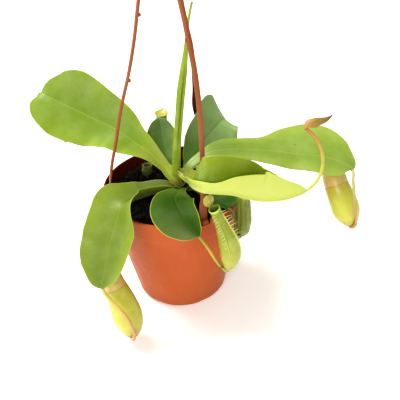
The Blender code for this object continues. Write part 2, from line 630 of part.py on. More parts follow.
SPEAR = dict(
    path=[(2.3, -7.6, 118.05), (3.2, -8, 131), (5.6, -8, 151.5), (8.6, -8, 173), (11.6, -7, 193),
          (14.3, -6.5, 208.5), (16.6, -6, 223), (18, -6, 233.5), (20, -5.5, 245), (22.8, -5.5, 256)],
    radii=[2.8, 3.5, 3.3, 3.0, 2.6, 2.2, 1.7, 1.2, 0.9, 0.8])

PITCHERS = {
    "pitcher_left": dict(
        path=[(-100.9, 60.55, 120.15), (-97.5, 60, 118.8), (-95, 61, 128), (-93.5, 63.5, 143),
              (-92, 66, 158.5)],
        front=(-.5, -.8, 0),
        radii=[1.2, 3.5, 7.5, 8, 6.5, 5.4, 5.2, 5.4],
        lid=(9, 5, 1.15),
        colour=(0.4, 0.2, 0.08)),
    "pitcher_front_left": dict(
        path=[(-38.6, -85.5, 19), (-39.6, -80, 14.5), (-41.3, -75.5, 18.5), (-44.5, -71, 29.5),
              (-48, -67.5, 42.5), (-52, -64, 53), (-55, -60.5, 62), (-57, -57, 70.5)],
        front=(.2, -1, 0),
        radii=[1.3, 6, 11, 12.2, 12, 10.8, 9.8, 9.1, 8.7, 8.5],
        lid=(13, 7.5, 1.1),
        colour=(0.42, 0.4, 0.05)),
    "pitcher_front": dict(
        path=[(35.3, -67, 69), (38, -66.5, 66.8), (40.6, -66, 72), (41.5, -66, 86), (39, -66.5, 100.5),
              (35, -67.5, 114.5), (30.5, -68.5, 127.5)],
        front=(.75, -.66, 0),
        radii=[1.2, 4.5, 7.4, 7.9, 7.2, 6.0, 5.2, 4.9, 4.8, 5.0],
        lid=(8.5, 4.4, 1.15),
        colour=(0.35, 0.48, 0.05)),
    "pitcher_right": dict(
        path=[(149.2, -27, 75), (148.2, -20.5, 71.6), (145.6, -16.5, 76), (142, -14, 84.5),
              (138, -11, 94), (135.4, -7, 100), (133.8, -2, 106), (133, 3, 112)],
        front=(.45, -.9, 0),
        radii=[1.2, 6, 10.6, 11.8, 11.9, 11.4, 10.8, 10.2, 9.7, 9.4],
        lid=(11, 7, 0.62),
        tilt=0.3,
        colour=(0.42, 0.4, 0.05)),
    "pitcher_back_left": dict(
        path=[(-9, 41.8, 128), (-9.2, 45.5, 126), (-9, 48.5, 131.5), (-9, 49, 139), (-8.5, 49.5, 146)],
        front=(-.4, -.9, 0),
        radii=[1.0, 2.8, 4.8, 5.2, 5.1, 4.9, 4.8, 4.9],
        lid=(8.5, 4.8, 1.1),
        lip=0.8,
        wing=0.6,
        colour=(0.35, 0.42, 0.1)),
    "pitcher_low_right": dict(
        path=[(48.8, -46.5, 83.3), (51, -43, 79.5), (52.6, -40.8, 84.2), (53.2, -40.6, 93), (53.5, -40.4, 105),
              (53.2, -39, 118.5)],
        front=(.8, -.6, 0),
        radii=[0.9, 3.3, 6.0, 6.6, 6.5, 6.0, 5.6, 5.3, 5.1, 5.1],
        lid=(7.5, 4.5, 1.32),
        colour=(0.2, 0.22, 0.04)),
}

BUD = dict(
    path=[(98.3, -50.1, 184.8), (101.5, -49.4, 185.6), (105, -48.8, 186.0), (109, -48, 186.4),
          (114.5, -47, 187.6)],
    wide=[1.2, 1.8, 3.4, 2.2, 0.5],
    deep=[1.2, 1.4, 1.8, 1.2, 0.5])


def build_leaf(name, spec):
    v = leaf_rings(spec)
    obj = mesh_object(name, v.reshape(-1, 3), loft_faces(v.shape[0], v.shape[1], len(STATIONS)))
    outward(obj)
    cut = stem_body("seat", SEAT_RINGS, cutters)
    boolean(obj, cut, "DIFFERENCE")
    bpy.data.objects.remove(cut, do_unlink=True)
    return finish(obj, spec["colour"], 0.4)


def build_spear():
    """The rolled newest leaf: a slim spindle with a slit down one side that thins to a thread."""
    s = np.linspace(0, 1, 21)
    p, t, k, length = curve_at(SPEAR["path"], s)
    out = carried_frame(p, t, (0.0, -1.0, 0.0))
    side = np.cross(t, out)
    r = track(SPEAR["radii"], k, s)
    a = 2 * math.pi * np.arange(10) / 10
    dent = np.where(np.arange(10) == 0, 0.72, 1.0)
    rings = [p[i] + r[i] * dent[:, None] * (np.cos(a)[:, None] * out[i] + np.sin(a)[:, None] * side[i])
             for i in range(len(s))]
    obj = mesh_object("leaf_spear", np.concatenate(rings), loft_faces(len(s), 10))
    return finish(obj, (0.25, 0.33, 0.06))


def build_pitcher(name, spec):
    v, mouth = pitcher_rings(spec)
    obj = outward(mesh_object(name, v.reshape(-1, 3), loft_faces(v.shape[0], v.shape[1])))
    lid = lid_mesh(spec, mouth)
    faces = loft_faces(lid.shape[0], lid.shape[1])
    cover = outward(mesh_object(name + "_lid", lid.reshape(-1, 3), faces, cutters))
    boolean(obj, cover, "UNION")
    return finish(obj, spec["colour"], 0.35)


def build_bud():
    s = np.linspace(0, 1, 9)
    p, t, k, length = curve_at(BUD["path"], s)
    side = carried_frame(p, t, (0.0, 0.6, 1.0))
    out = np.cross(t, side)
    a = 2 * math.pi * np.arange(8) / 8
    w = track(BUD["wide"], k, s)
    d = track(BUD["deep"], k, s)
    rings = [p[i] + np.cos(a)[:, None] * w[i] * side[i] + np.sin(a)[:, None] * d[i] * out[i]
             for i in range(len(s))]
    obj = mesh_object("bud_right", np.concatenate(rings), loft_faces(len(s), 8))
    return finish(obj, (0.25, 0.1, 0.04))


build_pot()
build_soil()
build_sprout()
build_stem()
build_hanger()
for leaf_name, leaf_spec in LEAVES.items():
    build_leaf(leaf_name, leaf_spec)
build_spear()
for pitcher_name, pitcher_spec in PITCHERS.items():
    build_pitcher(pitcher_name, pitcher_spec)
build_bud()
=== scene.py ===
"""Potted tropical pitcher plant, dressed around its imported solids.

Sizes are in millimetres until a mesh is made. Each shape is a function of two parameters on a grid, or a
profile carried along a path, worked out as whole arrays.
"""
import math

import bpy
import numpy as np
from mathutils import Matrix, Vector


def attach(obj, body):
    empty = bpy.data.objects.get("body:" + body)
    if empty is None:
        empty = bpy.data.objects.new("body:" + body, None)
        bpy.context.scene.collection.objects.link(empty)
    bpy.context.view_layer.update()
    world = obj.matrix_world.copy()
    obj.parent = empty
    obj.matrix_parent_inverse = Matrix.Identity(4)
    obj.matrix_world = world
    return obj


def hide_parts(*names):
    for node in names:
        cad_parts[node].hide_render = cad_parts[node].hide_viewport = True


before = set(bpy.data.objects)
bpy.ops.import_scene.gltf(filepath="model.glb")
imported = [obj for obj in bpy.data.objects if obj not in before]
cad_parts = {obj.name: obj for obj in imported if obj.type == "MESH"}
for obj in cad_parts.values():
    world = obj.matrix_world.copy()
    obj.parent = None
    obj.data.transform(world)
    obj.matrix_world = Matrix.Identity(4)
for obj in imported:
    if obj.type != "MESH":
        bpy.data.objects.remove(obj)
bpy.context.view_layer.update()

# Lengths in millimetres: the pot and its filling, the stem, the sprout and the hanger.
MM = 0.001
RIM_R, BASE_R, POT_H = 60.0, 40.0, 107.0
WALL, FLOOR, LEDGE_Z, SOIL_Z = 1.6, 2.2, 87.0, 94.0
HEAP, HEAP_TURN = 6.0, 2.3
STEM_X, STEM_Y, STEM_R = 1.5, -6.0, 5.4
STEM_FOOT, STEM_TOP = 80.0, 117.5
SPROUT = (-25.5, 31.0)
APEX = (2.0, -14.0, 329.0)
CLIP_ANGLES = {"left": 183.0, "front": -66.0, "back": 57.0}
TOE_R = {"left": 55.4, "front": 56.6, "back": 55.4}
# A leaf's thickness at edge and rib, the widths of rib, groove and rounded edge, and the stretches before
# and after the tip over which the section turns round.
EDGE_THICK, RIB_THICK = 0.7, 1.9
RIB_WIDE, GROOVE_WIDE, EDGE_ROUND = 1.6, 0.8, 0.35
ROUND_BEFORE, ROUND_AFTER = 3.0, 5.0
# A pitcher's wall, how far down its inside goes, and the usual tilt of the mouth, height and angle of the
# wings and share of the rounded foot.
PITCHER_WALL, PITCHER_FLOOR = 1.0, 0.27
TILT, WING, WING_AT, BULB = 0.5, 1.2, 0.449, 0.2
# The view and its light.
CAMERA_AT = (20.586, -388.125, 366.598)
CAMERA_AHEAD, CAMERA_UP = (0.0, 0.81139, -0.58450), (0.05764, 0.58353, 0.81004)
LENS, SENSOR = 50.0, 36.0
KEY_POWER, FRONT_POWER, WORLD_STRENGTH = 27.0, 8.0, 0.5
LAMP_SIZE, LAMP_AIM, STAGE_HALF = 0.8, (0.0, 0.0, 0.08), 6.0
# The flats pressed into the pot's base, the notch cut into its rim, and the mix inside.
FLATS, FLAT_FIRST, FLAT_TIP, FLAT_OUT, FLAT_DEPTH = 6, -121, 0.75, 2.2, 3.0
NOTCH = (4.5, 4.0, 3.5)
SOIL_STEPS, SOIL_GAP = 360, 0.65


def smooth(x):
    """The cubic step from 0 to 1."""
    x = np.clip(x, 0.0, 1.0)
    return x * x * (3 - 2 * x)


def unit(a):
    """Vectors of length 1."""
    a = np.asarray(a, float)
    return a / np.maximum(np.linalg.norm(a, axis=-1, keepdims=True), 1e-9)


def curve(points, dense=1600):
    """Smooth cubic curve through the points: positions, arc fractions, fractions of the points, length."""
    p = np.asarray(points, float)
    t = np.concatenate([[0], np.cumsum(np.linalg.norm(np.diff(p, axis=0), axis=1) ** 0.5)])
    h = np.diff(t)[:, None]
    slope = np.diff(p, axis=0) / h
    m = np.empty_like(p)
    m[1:-1] = (slope[:-1] * h[1:] + slope[1:] * h[:-1]) / (h[1:] + h[:-1])
    m[0] = 1.5 * slope[0] - 0.5 * m[1]
    m[-1] = 1.5 * slope[-1] - 0.5 * m[-2]
    u = np.unique(np.concatenate([np.linspace(0, t[-1], dense), t]))
    i = np.clip(np.searchsorted(t, u, side="right") - 1, 0, len(p) - 2)
    x = ((u - t[i]) / h[i, 0])[:, None]
    hh = h[i]
    q = ((1 + 2 * x) * (1 - x) ** 2 * p[i] + x * (1 - x) ** 2 * hh * m[i]
         + x * x * (3 - 2 * x) * p[i + 1] + x * x * (x - 1) * hh * m[i + 1])
    arc = np.concatenate([[0], np.cumsum(np.linalg.norm(np.diff(q, axis=0), axis=1))])
    return q, arc / arc[-1], arc[np.searchsorted(u, t)] / arc[-1], arc[-1]


def curve_at(points, s):
    """Points and unit tangents at fractions s of the curve's length, with its knots and length."""
    q, a, k, length = curve(points)

    def read(f):
        """Points at the fractions, between the dense ones of the curve."""
        return np.stack([np.interp(f, a, q[:, j]) for j in range(3)], -1)

    s = np.asarray(s, float)
    return read(s), unit(read(np.clip(s + 0.004, 0, 1)) - read(np.clip(s - 0.004, 0, 1))), k, length


def track(value, k, s):
    """A number, or a list with one entry per control point, read at the fractions s."""
    v = np.asarray(value, float)
    if v.ndim == 0:
        return np.full(len(s), float(v))
    if v.ndim == 1:
        return np.interp(s, k[:len(v)], v)
    return np.stack([np.interp(s, k[:len(v)], v[:, j]) for j in range(3)], -1)


def eased(values, x):
    """Catmull-Rom reading of evenly spaced values at x in 0..1."""
    w = np.asarray(values, float)
    n = len(w) - 1
    xs = np.clip(x, 0, 1) * n
    i = np.clip(xs.astype(int), 0, n - 1)
    f = xs - i
    e = np.concatenate([[2 * w[0] - w[1]], w, [2 * w[-1] - w[-2]]])
    a, b, c, d = e[i], e[i + 1], e[i + 2], e[i + 3]
    return b + 0.5 * f * ((c - a) + f * ((2 * a - 5 * b + 4 * c - d) + f * (3 * b - a - 3 * c + d)))


def carried_frame(p, t, last):
    """A direction carried along the curve from its end back to its start without twist."""
    n = np.zeros_like(p)
    v = np.asarray(last, float)
    for i in range(len(p) - 1, -1, -1):
        v = v - (v @ t[i]) * t[i]
        v = v / np.linalg.norm(v)
        n[i] = v
    return n


def loft(rings):
    """Points and faces of rings joined by quads; each end is closed by a fan to its middle."""
    n, m = rings.shape[:2]
    i = np.arange(n - 1)[:, None]
    j = np.arange(m)
    k = (j + 1) % m
    quads = np.stack([i * m + j, (i + 1) * m + j, (i + 1) * m + k, i * m + k], -1).reshape(-1, 4)
    points = np.concatenate([rings.reshape(-1, 3), rings[0].mean(0)[None], rings[-1].mean(0)[None]])
    last = (n - 1) * m
    tris = np.concatenate([np.stack([j, k, np.full(m, n * m)], -1),
                           np.stack([last + k, last + j, np.full(m, n * m + 1)], -1)])
    return points, quads, tris


def swept(p, x_way, y_way, x, y):
    """Rings along a path: each path point plus x times one cross direction plus y times the other."""
    return p[:, None] + x[..., None] * x_way[:, None] + y[..., None] * y_way[:, None]


def signed(x, power):
    """A power of the size of x, with the sign of x."""
    return np.sign(x) * np.abs(x) ** power


def around(steps):
    """Evenly spaced angles once round, the last one a step before the first."""
    return 2 * math.pi * np.arange(steps) / steps


def joined(parts):
    """Several (points, quads, triangles) as one, with their faces renumbered."""
    points, quads, tris, base = [], [], [], 0
    for p, q, t in parts:
        points.append(p)
        quads.append(q + base)
        tris.append(t + base)
        base += len(p)
    return np.concatenate(points), np.concatenate(quads), np.concatenate(tris)


def turned_out(points, quads, tris):
    """The faces of a closed mesh, all turned over if its signed volume is below zero."""
    all_tris = np.concatenate([quads[:, [0, 1, 2]], quads[:, [0, 2, 3]], tris])
    a, b, c = (points[all_tris[:, i]] for i in range(3))
    if (a * np.cross(b, c)).sum() < 0:
        return quads[:, ::-1], tris[:, ::-1]
    return quads, tris


def placed(name, data):
    """A new object in the scene with the data given."""
    obj = bpy.data.objects.new(name, data)
    bpy.context.scene.collection.objects.link(obj)
    return obj


def piece(name, shape, finish, replaces=(), layers=None, outward=True):
    """A smooth-shaded mesh piece of the plant from points in millimetres, with its own attributes."""
    points, quads, tris = shape
    if outward:
        quads, tris = turned_out(points, quads, tris)
    mesh = bpy.data.meshes.new(name)
    mesh.vertices.add(len(points))
    mesh.vertices.foreach_set("co", (points * MM).astype(np.float32).ravel())
    corners = np.concatenate([quads.ravel(), tris.ravel()]).astype(np.int32)
    mesh.loops.add(len(corners))
    mesh.loops.foreach_set("vertex_index", corners)
    starts = np.concatenate([np.arange(len(quads)) * 4, len(quads) * 4 + np.arange(len(tris)) * 3])
    mesh.polygons.add(len(starts))
    mesh.polygons.foreach_set("loop_start", starts.astype(np.int32))
    mesh.update(calc_edges=True)
    mesh.validate()
    mesh.polygons.foreach_set("use_smooth", np.ones(len(mesh.polygons), bool))
    for key, values in (layers or {}).items():
        full = np.zeros(len(points), np.float32)
        full[:len(values)] = values
        mesh.attributes.new(key, "FLOAT", "POINT").data.foreach_set("value", full)
    mesh.materials.append(finish)
    obj = placed(name, mesh)
    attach(obj, "root")
    if replaces:
        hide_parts(*replaces)
    return obj


def put(tree, value, socket):
    """A link from a socket, or a constant on the socket itself."""
    if isinstance(value, bpy.types.NodeSocket):
        tree.links.new(value, socket)
    elif isinstance(value, tuple) and len(value) == 3 and len(socket.default_value) == 4:
        socket.default_value = (*value, 1.0)
    else:
        socket.default_value = value


def node(tree, kind, **values):
    """A new shader node with each value put into the input of that name."""
    n = tree.nodes.new("ShaderNode" + kind)
    for key, value in values.items():
        put(tree, value, n.inputs[key])
    return n


def maths(tree, operation, *values):
    """One step of arithmetic on sockets or numbers."""
    n = tree.nodes.new("ShaderNodeMath")
    n.operation = operation
    for value, socket in zip(values, n.inputs):
        put(tree, value, socket)
    return n.outputs[0]


def times(tree, a, b):
    """The product of two sockets or numbers."""
    return maths(tree, "MULTIPLY", a, b)


def mixed(tree, amount, a, b):
    """Colour a, going over to colour b as the amount goes from 0 to 1."""
    n = tree.nodes.new("ShaderNodeMix")
    n.data_type = "RGBA"
    for value, place in zip((amount, a, b), (0, 6, 7)):
        put(tree, value, n.inputs[place])
    return n.outputs[2]


def ranged(tree, value, a, b, low=0.0, high=1.0):
    """A smooth step from low at a to high at b."""
    n = tree.nodes.new("ShaderNodeMapRange")
    n.interpolation_type = "SMOOTHSTEP"
    for v, socket in zip((value, a, b, low, high), n.inputs):
        put(tree, v, socket)
    return n.outputs[0]


def ramped(tree, value, stops):
    """A colour read from the stops, each a place and its colour."""
    n = node(tree, "ValToRGB")
    put(tree, value, n.inputs[0])
    bar = n.color_ramp.elements
    while len(bar) < len(stops):
        bar.new(0.5)
    for element, (at, colour) in zip(bar, stops):
        element.position = at
        element.color = (*colour, 1.0)
    return n.outputs[0]


def noise(tree, where, scale, detail=3.0, rough=0.55):
    """Soft noise from 0 to 1 at the place given."""
    return node(tree, "TexNoise", Vector=where, Scale=scale, Detail=detail, Roughness=rough).outputs[0]


def cells(tree, where, scale):
    """The distance to the nearest of many scattered points."""
    return node(tree, "TexVoronoi", Vector=where, Scale=scale).outputs["Distance"]


def attribute(tree, name):
    """One of the mesh's own attributes."""
    n = node(tree, "Attribute")
    n.attribute_name = name
    return n.outputs["Fac"]


def object_place(tree, stretch=(1.0, 1.0, 1.0)):
    """Object coordinates, each multiplied by its stretch."""
    place = node(tree, "TexCoord").outputs["Object"]
    return node(tree, "Mapping", Vector=place, Scale=stretch).outputs[0]


def bumped(tree, height, distance, strength):
    """A normal tilted by the slope of the height."""
    return node(tree, "Bump", Height=height, Distance=distance, Strength=strength).outputs[0]


def new_finish(name):
    """A material with its node tree and its shader."""
    mat = bpy.data.materials.new(name)
    mat.use_nodes = True
    return mat, mat.node_tree, mat.node_tree.nodes["Principled BSDF"]


def dress(tree, shader, **values):
    """Constants and links on the shader's own sockets; an underscore stands for a space in their names."""
    for key, value in values.items():
        put(tree, value, shader.inputs[key.replace("_", " ")])


def leaf_finish(name, centre, outer, stalk, line, rib, under, tendril, specks=0.3, gloss=0.36, glow=0.0,
                shine=0.22, ribs=0.4, margins=0.45, tint=None, under_margin_light=None,
                foot=(0.10, 0.075, 0.015), haze=0.28):
    """Leaf skin: the colour goes from the middle to the side, with soft patches, oblique veins, a pale
    midrib, a thin light margin, a few dark specks, and the tendril's own colours past the tip. A tint may
    paint sheen on part of the blade, and the underside may be painted lighter near the margin for light
    shining through it."""
    mat, tree, shader = new_finish(name)
    where = object_place(tree)
    across, along = attribute(tree, "across"), attribute(tree, "along")
    edge, middle, back = attribute(tree, "edge_mm"), attribute(tree, "rib_mm"), attribute(tree, "under")
    blade = mixed(tree, ranged(tree, across, 0.25, 1.0), centre, outer)
    # A tint over part of the blade; on the front leaf it is painted sheen, lightening and greying the lower
    # left.
    if tint:
        there = times(tree, ranged(tree, attribute(tree, "side"), tint[0], tint[1]),
                      ranged(tree, along, tint[2], tint[3]))
        blade = mixed(tree, times(tree, there, 0.85), blade, tint[4])
    patches = ranged(tree, noise(tree, where, 55, 3), 0.35, 0.7)
    lighter = mixed(tree, haze, blade, (0.45, 0.50, 0.22))
    blade = mixed(tree, times(tree, patches, 0.4), blade, lighter)
    cloudy = ranged(tree, noise(tree, where, 150, 4), 0.4, 0.75)
    darker = mixed(tree, 0.35, blade, (0.03, 0.1, 0.01))
    blade = mixed(tree, times(tree, cloudy, 0.28), blade, darker)
    blade = mixed(tree, ranged(tree, along, 0.3, 0.0), blade, stalk)
    slant = maths(tree, "MULTIPLY_ADD", middle, -0.55, attribute(tree, "run_mm"))
    wobble = maths(tree, "MULTIPLY_ADD", noise(tree, where, 70, 3), 9.0, slant)
    vein = maths(tree, "SINE", times(tree, wobble, 2.6))
    vein_line = ranged(tree, vein, 0.55, 1.0)
    blade = mixed(tree, times(tree, vein_line, 0.06), blade, lighter)
    stem_side = ranged(tree, along, 0.14, 0.0)
    grooves = maths(tree, "SINE", times(tree, across, 26.0))
    grooves = times(tree, ranged(tree, grooves, -0.2, 0.9), stem_side)
    blade = mixed(tree, times(tree, grooves, 0.45), blade, rib)
    # The underside near the margin may go over to a lighter colour: painted light shining through the leaf's
    # edge.
    blade = mixed(tree, back, blade, mixed(tree, ranged(tree, edge, 7.0, 0.5), under, under_margin_light or under))
    blade = mixed(tree, ranged(tree, along, -0.09, -0.19), blade, foot)
    rib_line = times(tree, ranged(tree, middle, 0.9, 0.15), ribs)
    blade = mixed(tree, rib_line, blade, rib)
    margin = ranged(tree, edge, 0.8, 0.3)
    blade = mixed(tree, times(tree, margin, margins), blade, line)
    dots = ranged(tree, cells(tree, where, 210), 0.16, 0.09)
    gate = ranged(tree, noise(tree, where, 38, 2), 0.52, 0.6)
    dots = times(tree, times(tree, dots, gate), specks)
    blade = mixed(tree, dots, blade, (0.06, 0.09, 0.02))
    thread = ramped(tree, maths(tree, "SUBTRACT", along, 1.0), tendril)
    blade = mixed(tree, ranged(tree, along, 0.995, 1.02), blade, thread)
    rough = ranged(tree, noise(tree, where, 90, 3), 0.3, 0.7, gloss - 0.05, gloss + 0.1)
    ridge = maths(tree, "MULTIPLY_ADD", vein, 0.35, times(tree, noise(tree, where, 700, 3), 0.8))
    dress(tree, shader, Base_Color=blade, Roughness=maths(tree, "MULTIPLY_ADD", back, 0.12, rough),
          Normal=bumped(tree, ridge, 0.00006, 0.8), Specular_IOR_Level=shine)
    if glow:
        dress(tree, shader, Subsurface_Weight=glow, Subsurface_Radius=(0.6, 1.0, 0.15),
              Subsurface_Scale=0.0015)
    return mat


def pitcher_finish(name, stops, inside, lip, blush, hip=0.7, mottle=0.2, gloss=0.24):
    """Pitcher skin: colours by height with a fine line at the hip, faint blotches, pale patches of painted
    highlight and lengthwise veins, a pale lip with fine ribs and a darker inside."""
    mat, tree, shader = new_finish(name)
    where = object_place(tree)
    along, inner, mouth = attribute(tree, "along"), attribute(tree, "inside"), attribute(tree, "lip")
    lower = maths(tree, "SUBTRACT", along, 0.04)
    skin = ramped(tree, maths(tree, "MULTIPLY_ADD", noise(tree, where, 60, 2), 0.08, lower), stops)
    blotch = ranged(tree, noise(tree, where, 170, 4, 0.6), 0.52, 0.75)
    skin = mixed(tree, times(tree, blotch, mottle), skin, blush)
    # Pale yellow patches at random places: painted highlight on the pitcher.
    pale = ranged(tree, noise(tree, where, 80, 3), 0.5, 0.8)
    skin = mixed(tree, times(tree, pale, 0.3), skin, (0.72, 0.74, 0.25))
    line = ranged(tree, maths(tree, "ABSOLUTE", maths(tree, "SUBTRACT", along, hip)), 0.012, 0.002)
    skin = mixed(tree, times(tree, line, 0.5), skin, blush)
    skin = mixed(tree, attribute(tree, "wing"), skin, lip)
    skin = mixed(tree, mouth, skin, lip)
    skin = mixed(tree, inner, skin, inside)
    rough = ranged(tree, noise(tree, where, 120, 3), 0.3, 0.7, gloss, gloss + 0.14)
    stripes = maths(tree, "SINE", times(tree, attribute(tree, "turn"), 22.0))
    relief = maths(tree, "MULTIPLY_ADD", noise(tree, where, 600, 3), 0.8, times(tree, stripes, 0.05))
    dress(tree, shader, Base_Color=skin, Roughness=rough, Normal=bumped(tree, relief, 0.00008, 0.7),
          Specular_IOR_Level=0.3, Coat_Weight=0.25, Coat_Roughness=0.18, Subsurface_Weight=0.15,
          Subsurface_Radius=(0.9, 0.9, 0.2), Subsurface_Scale=0.002)
    return mat


def inner_wall_shade_mask(tree):
    """1 on the pot's inner side above half its height, where the painted shade goes: there the distance from
    the axis is less than the outer radius at that height by more than half the wall."""
    x, y, z = node(tree, "SeparateXYZ", Vector=node(tree, "TexCoord").outputs["Object"]).outputs
    square = maths(tree, "MULTIPLY_ADD", x, x, times(tree, y, y))
    outer = maths(tree, "MULTIPLY_ADD", z, (RIM_R - BASE_R) / POT_H, BASE_R * MM)
    depth = maths(tree, "SUBTRACT", outer, maths(tree, "SQRT", square))
    within = ranged(tree, depth, 0.4 * WALL * MM, 0.9 * WALL * MM)
    return times(tree, within, ranged(tree, z, 0.05, 0.055))


def plastic_finish(name, colour, warm, gloss=0.42, painted_inner_shade=None):
    """Moulded terracotta-coloured plastic: slow tone drift, faint upright flow streaks, dust and scuffs; a
    shade colour, when given, is painted onto the upper inner wall as shade.
    """
    mat, tree, shader = new_finish(name)
    where = object_place(tree)
    drift = ranged(tree, noise(tree, where, 18, 3), 0.3, 0.7)
    skin = mixed(tree, drift, colour, warm)
    streak = ranged(tree, noise(tree, object_place(tree, (1.0, 1.0, 0.06)), 260, 3), 0.45, 0.75)
    skin = mixed(tree, times(tree, streak, 0.03), skin, (0.75, 0.32, 0.16))
    dust = ranged(tree, noise(tree, where, 75, 5, 0.7), 0.58, 0.8)
    skin = mixed(tree, times(tree, dust, 0.05), skin, (0.7, 0.45, 0.3))
    # Painted shade: the upper inner wall of the pot is darkened to the given colour.
    if painted_inner_shade:
        skin = mixed(tree, inner_wall_shade_mask(tree), skin, painted_inner_shade)
    rough = ranged(tree, noise(tree, where, 140, 4), 0.3, 0.75, gloss - 0.05, gloss + 0.12)
    grain = maths(tree, "MULTIPLY_ADD", noise(tree, where, 2600, 2), 0.6, noise(tree, where, 300, 3))
    dress(tree, shader, Base_Color=skin, Roughness=rough, Normal=bumped(tree, grain, 0.00003, 0.6),
          Specular_IOR_Level=0.12, Subsurface_Weight=0.04, Subsurface_Radius=(1.0, 0.3, 0.15),
          Subsurface_Scale=0.002)
    return mat


def peat_finish(name):
    """Dark crumbly potting mix: near-black crumbs with brown fibres and a few greenish, damp specks."""
    mat, tree, shader = new_finish(name)
    where = object_place(tree)
    crumb = noise(tree, where, 520, 5, 0.65)
    skin = ramped(tree, crumb, [(0.3, (0.0015, 0.0014, 0.001)), (0.52, (0.006, 0.005, 0.003)),
                                (0.66, (0.022, 0.017, 0.009)), (0.8, (0.06, 0.045, 0.027))])
    mossy = times(tree, ranged(tree, noise(tree, where, 120, 3), 0.55, 0.7), 0.35)
    skin = mixed(tree, mossy, skin, (0.012, 0.018, 0.005))
    dress(tree, shader, Base_Color=skin, Roughness=0.92, Specular_IOR_Level=0.12,
          Normal=bumped(tree, noise(tree, where, 900, 5, 0.7), 0.0006, 1.0))
    return mat


def plain_finish(name, a, b, scale=200, rough=0.5, bump=0.00005, mark=None):
    """Two tones drifting into each other with a fine grain, for small living parts; a mark is the name of
    an attribute and the colour that it brings."""
    mat, tree, shader = new_finish(name)
    where = object_place(tree)
    skin = mixed(tree, ranged(tree, noise(tree, where, scale, 3), 0.35, 0.65), a, b)
    if mark:
        skin = mixed(tree, attribute(tree, mark[0]), skin, mark[1])
    dress(tree, shader, Base_Color=skin, Roughness=rough, Specular_IOR_Level=0.25,
          Normal=bumped(tree, noise(tree, where, 900, 3), bump, 0.8))
    return mat


HALF = np.array([0, 0.02, 0.045, 0.08, 0.13, 0.19, 0.26, 0.34, 0.42, 0.5, 0.58, 0.66, 0.74, 0.81, 0.87,
                 0.92, 0.955, 0.98, 0.993, 1.0])
STATIONS = np.concatenate([-HALF[:0:-1], HALF])


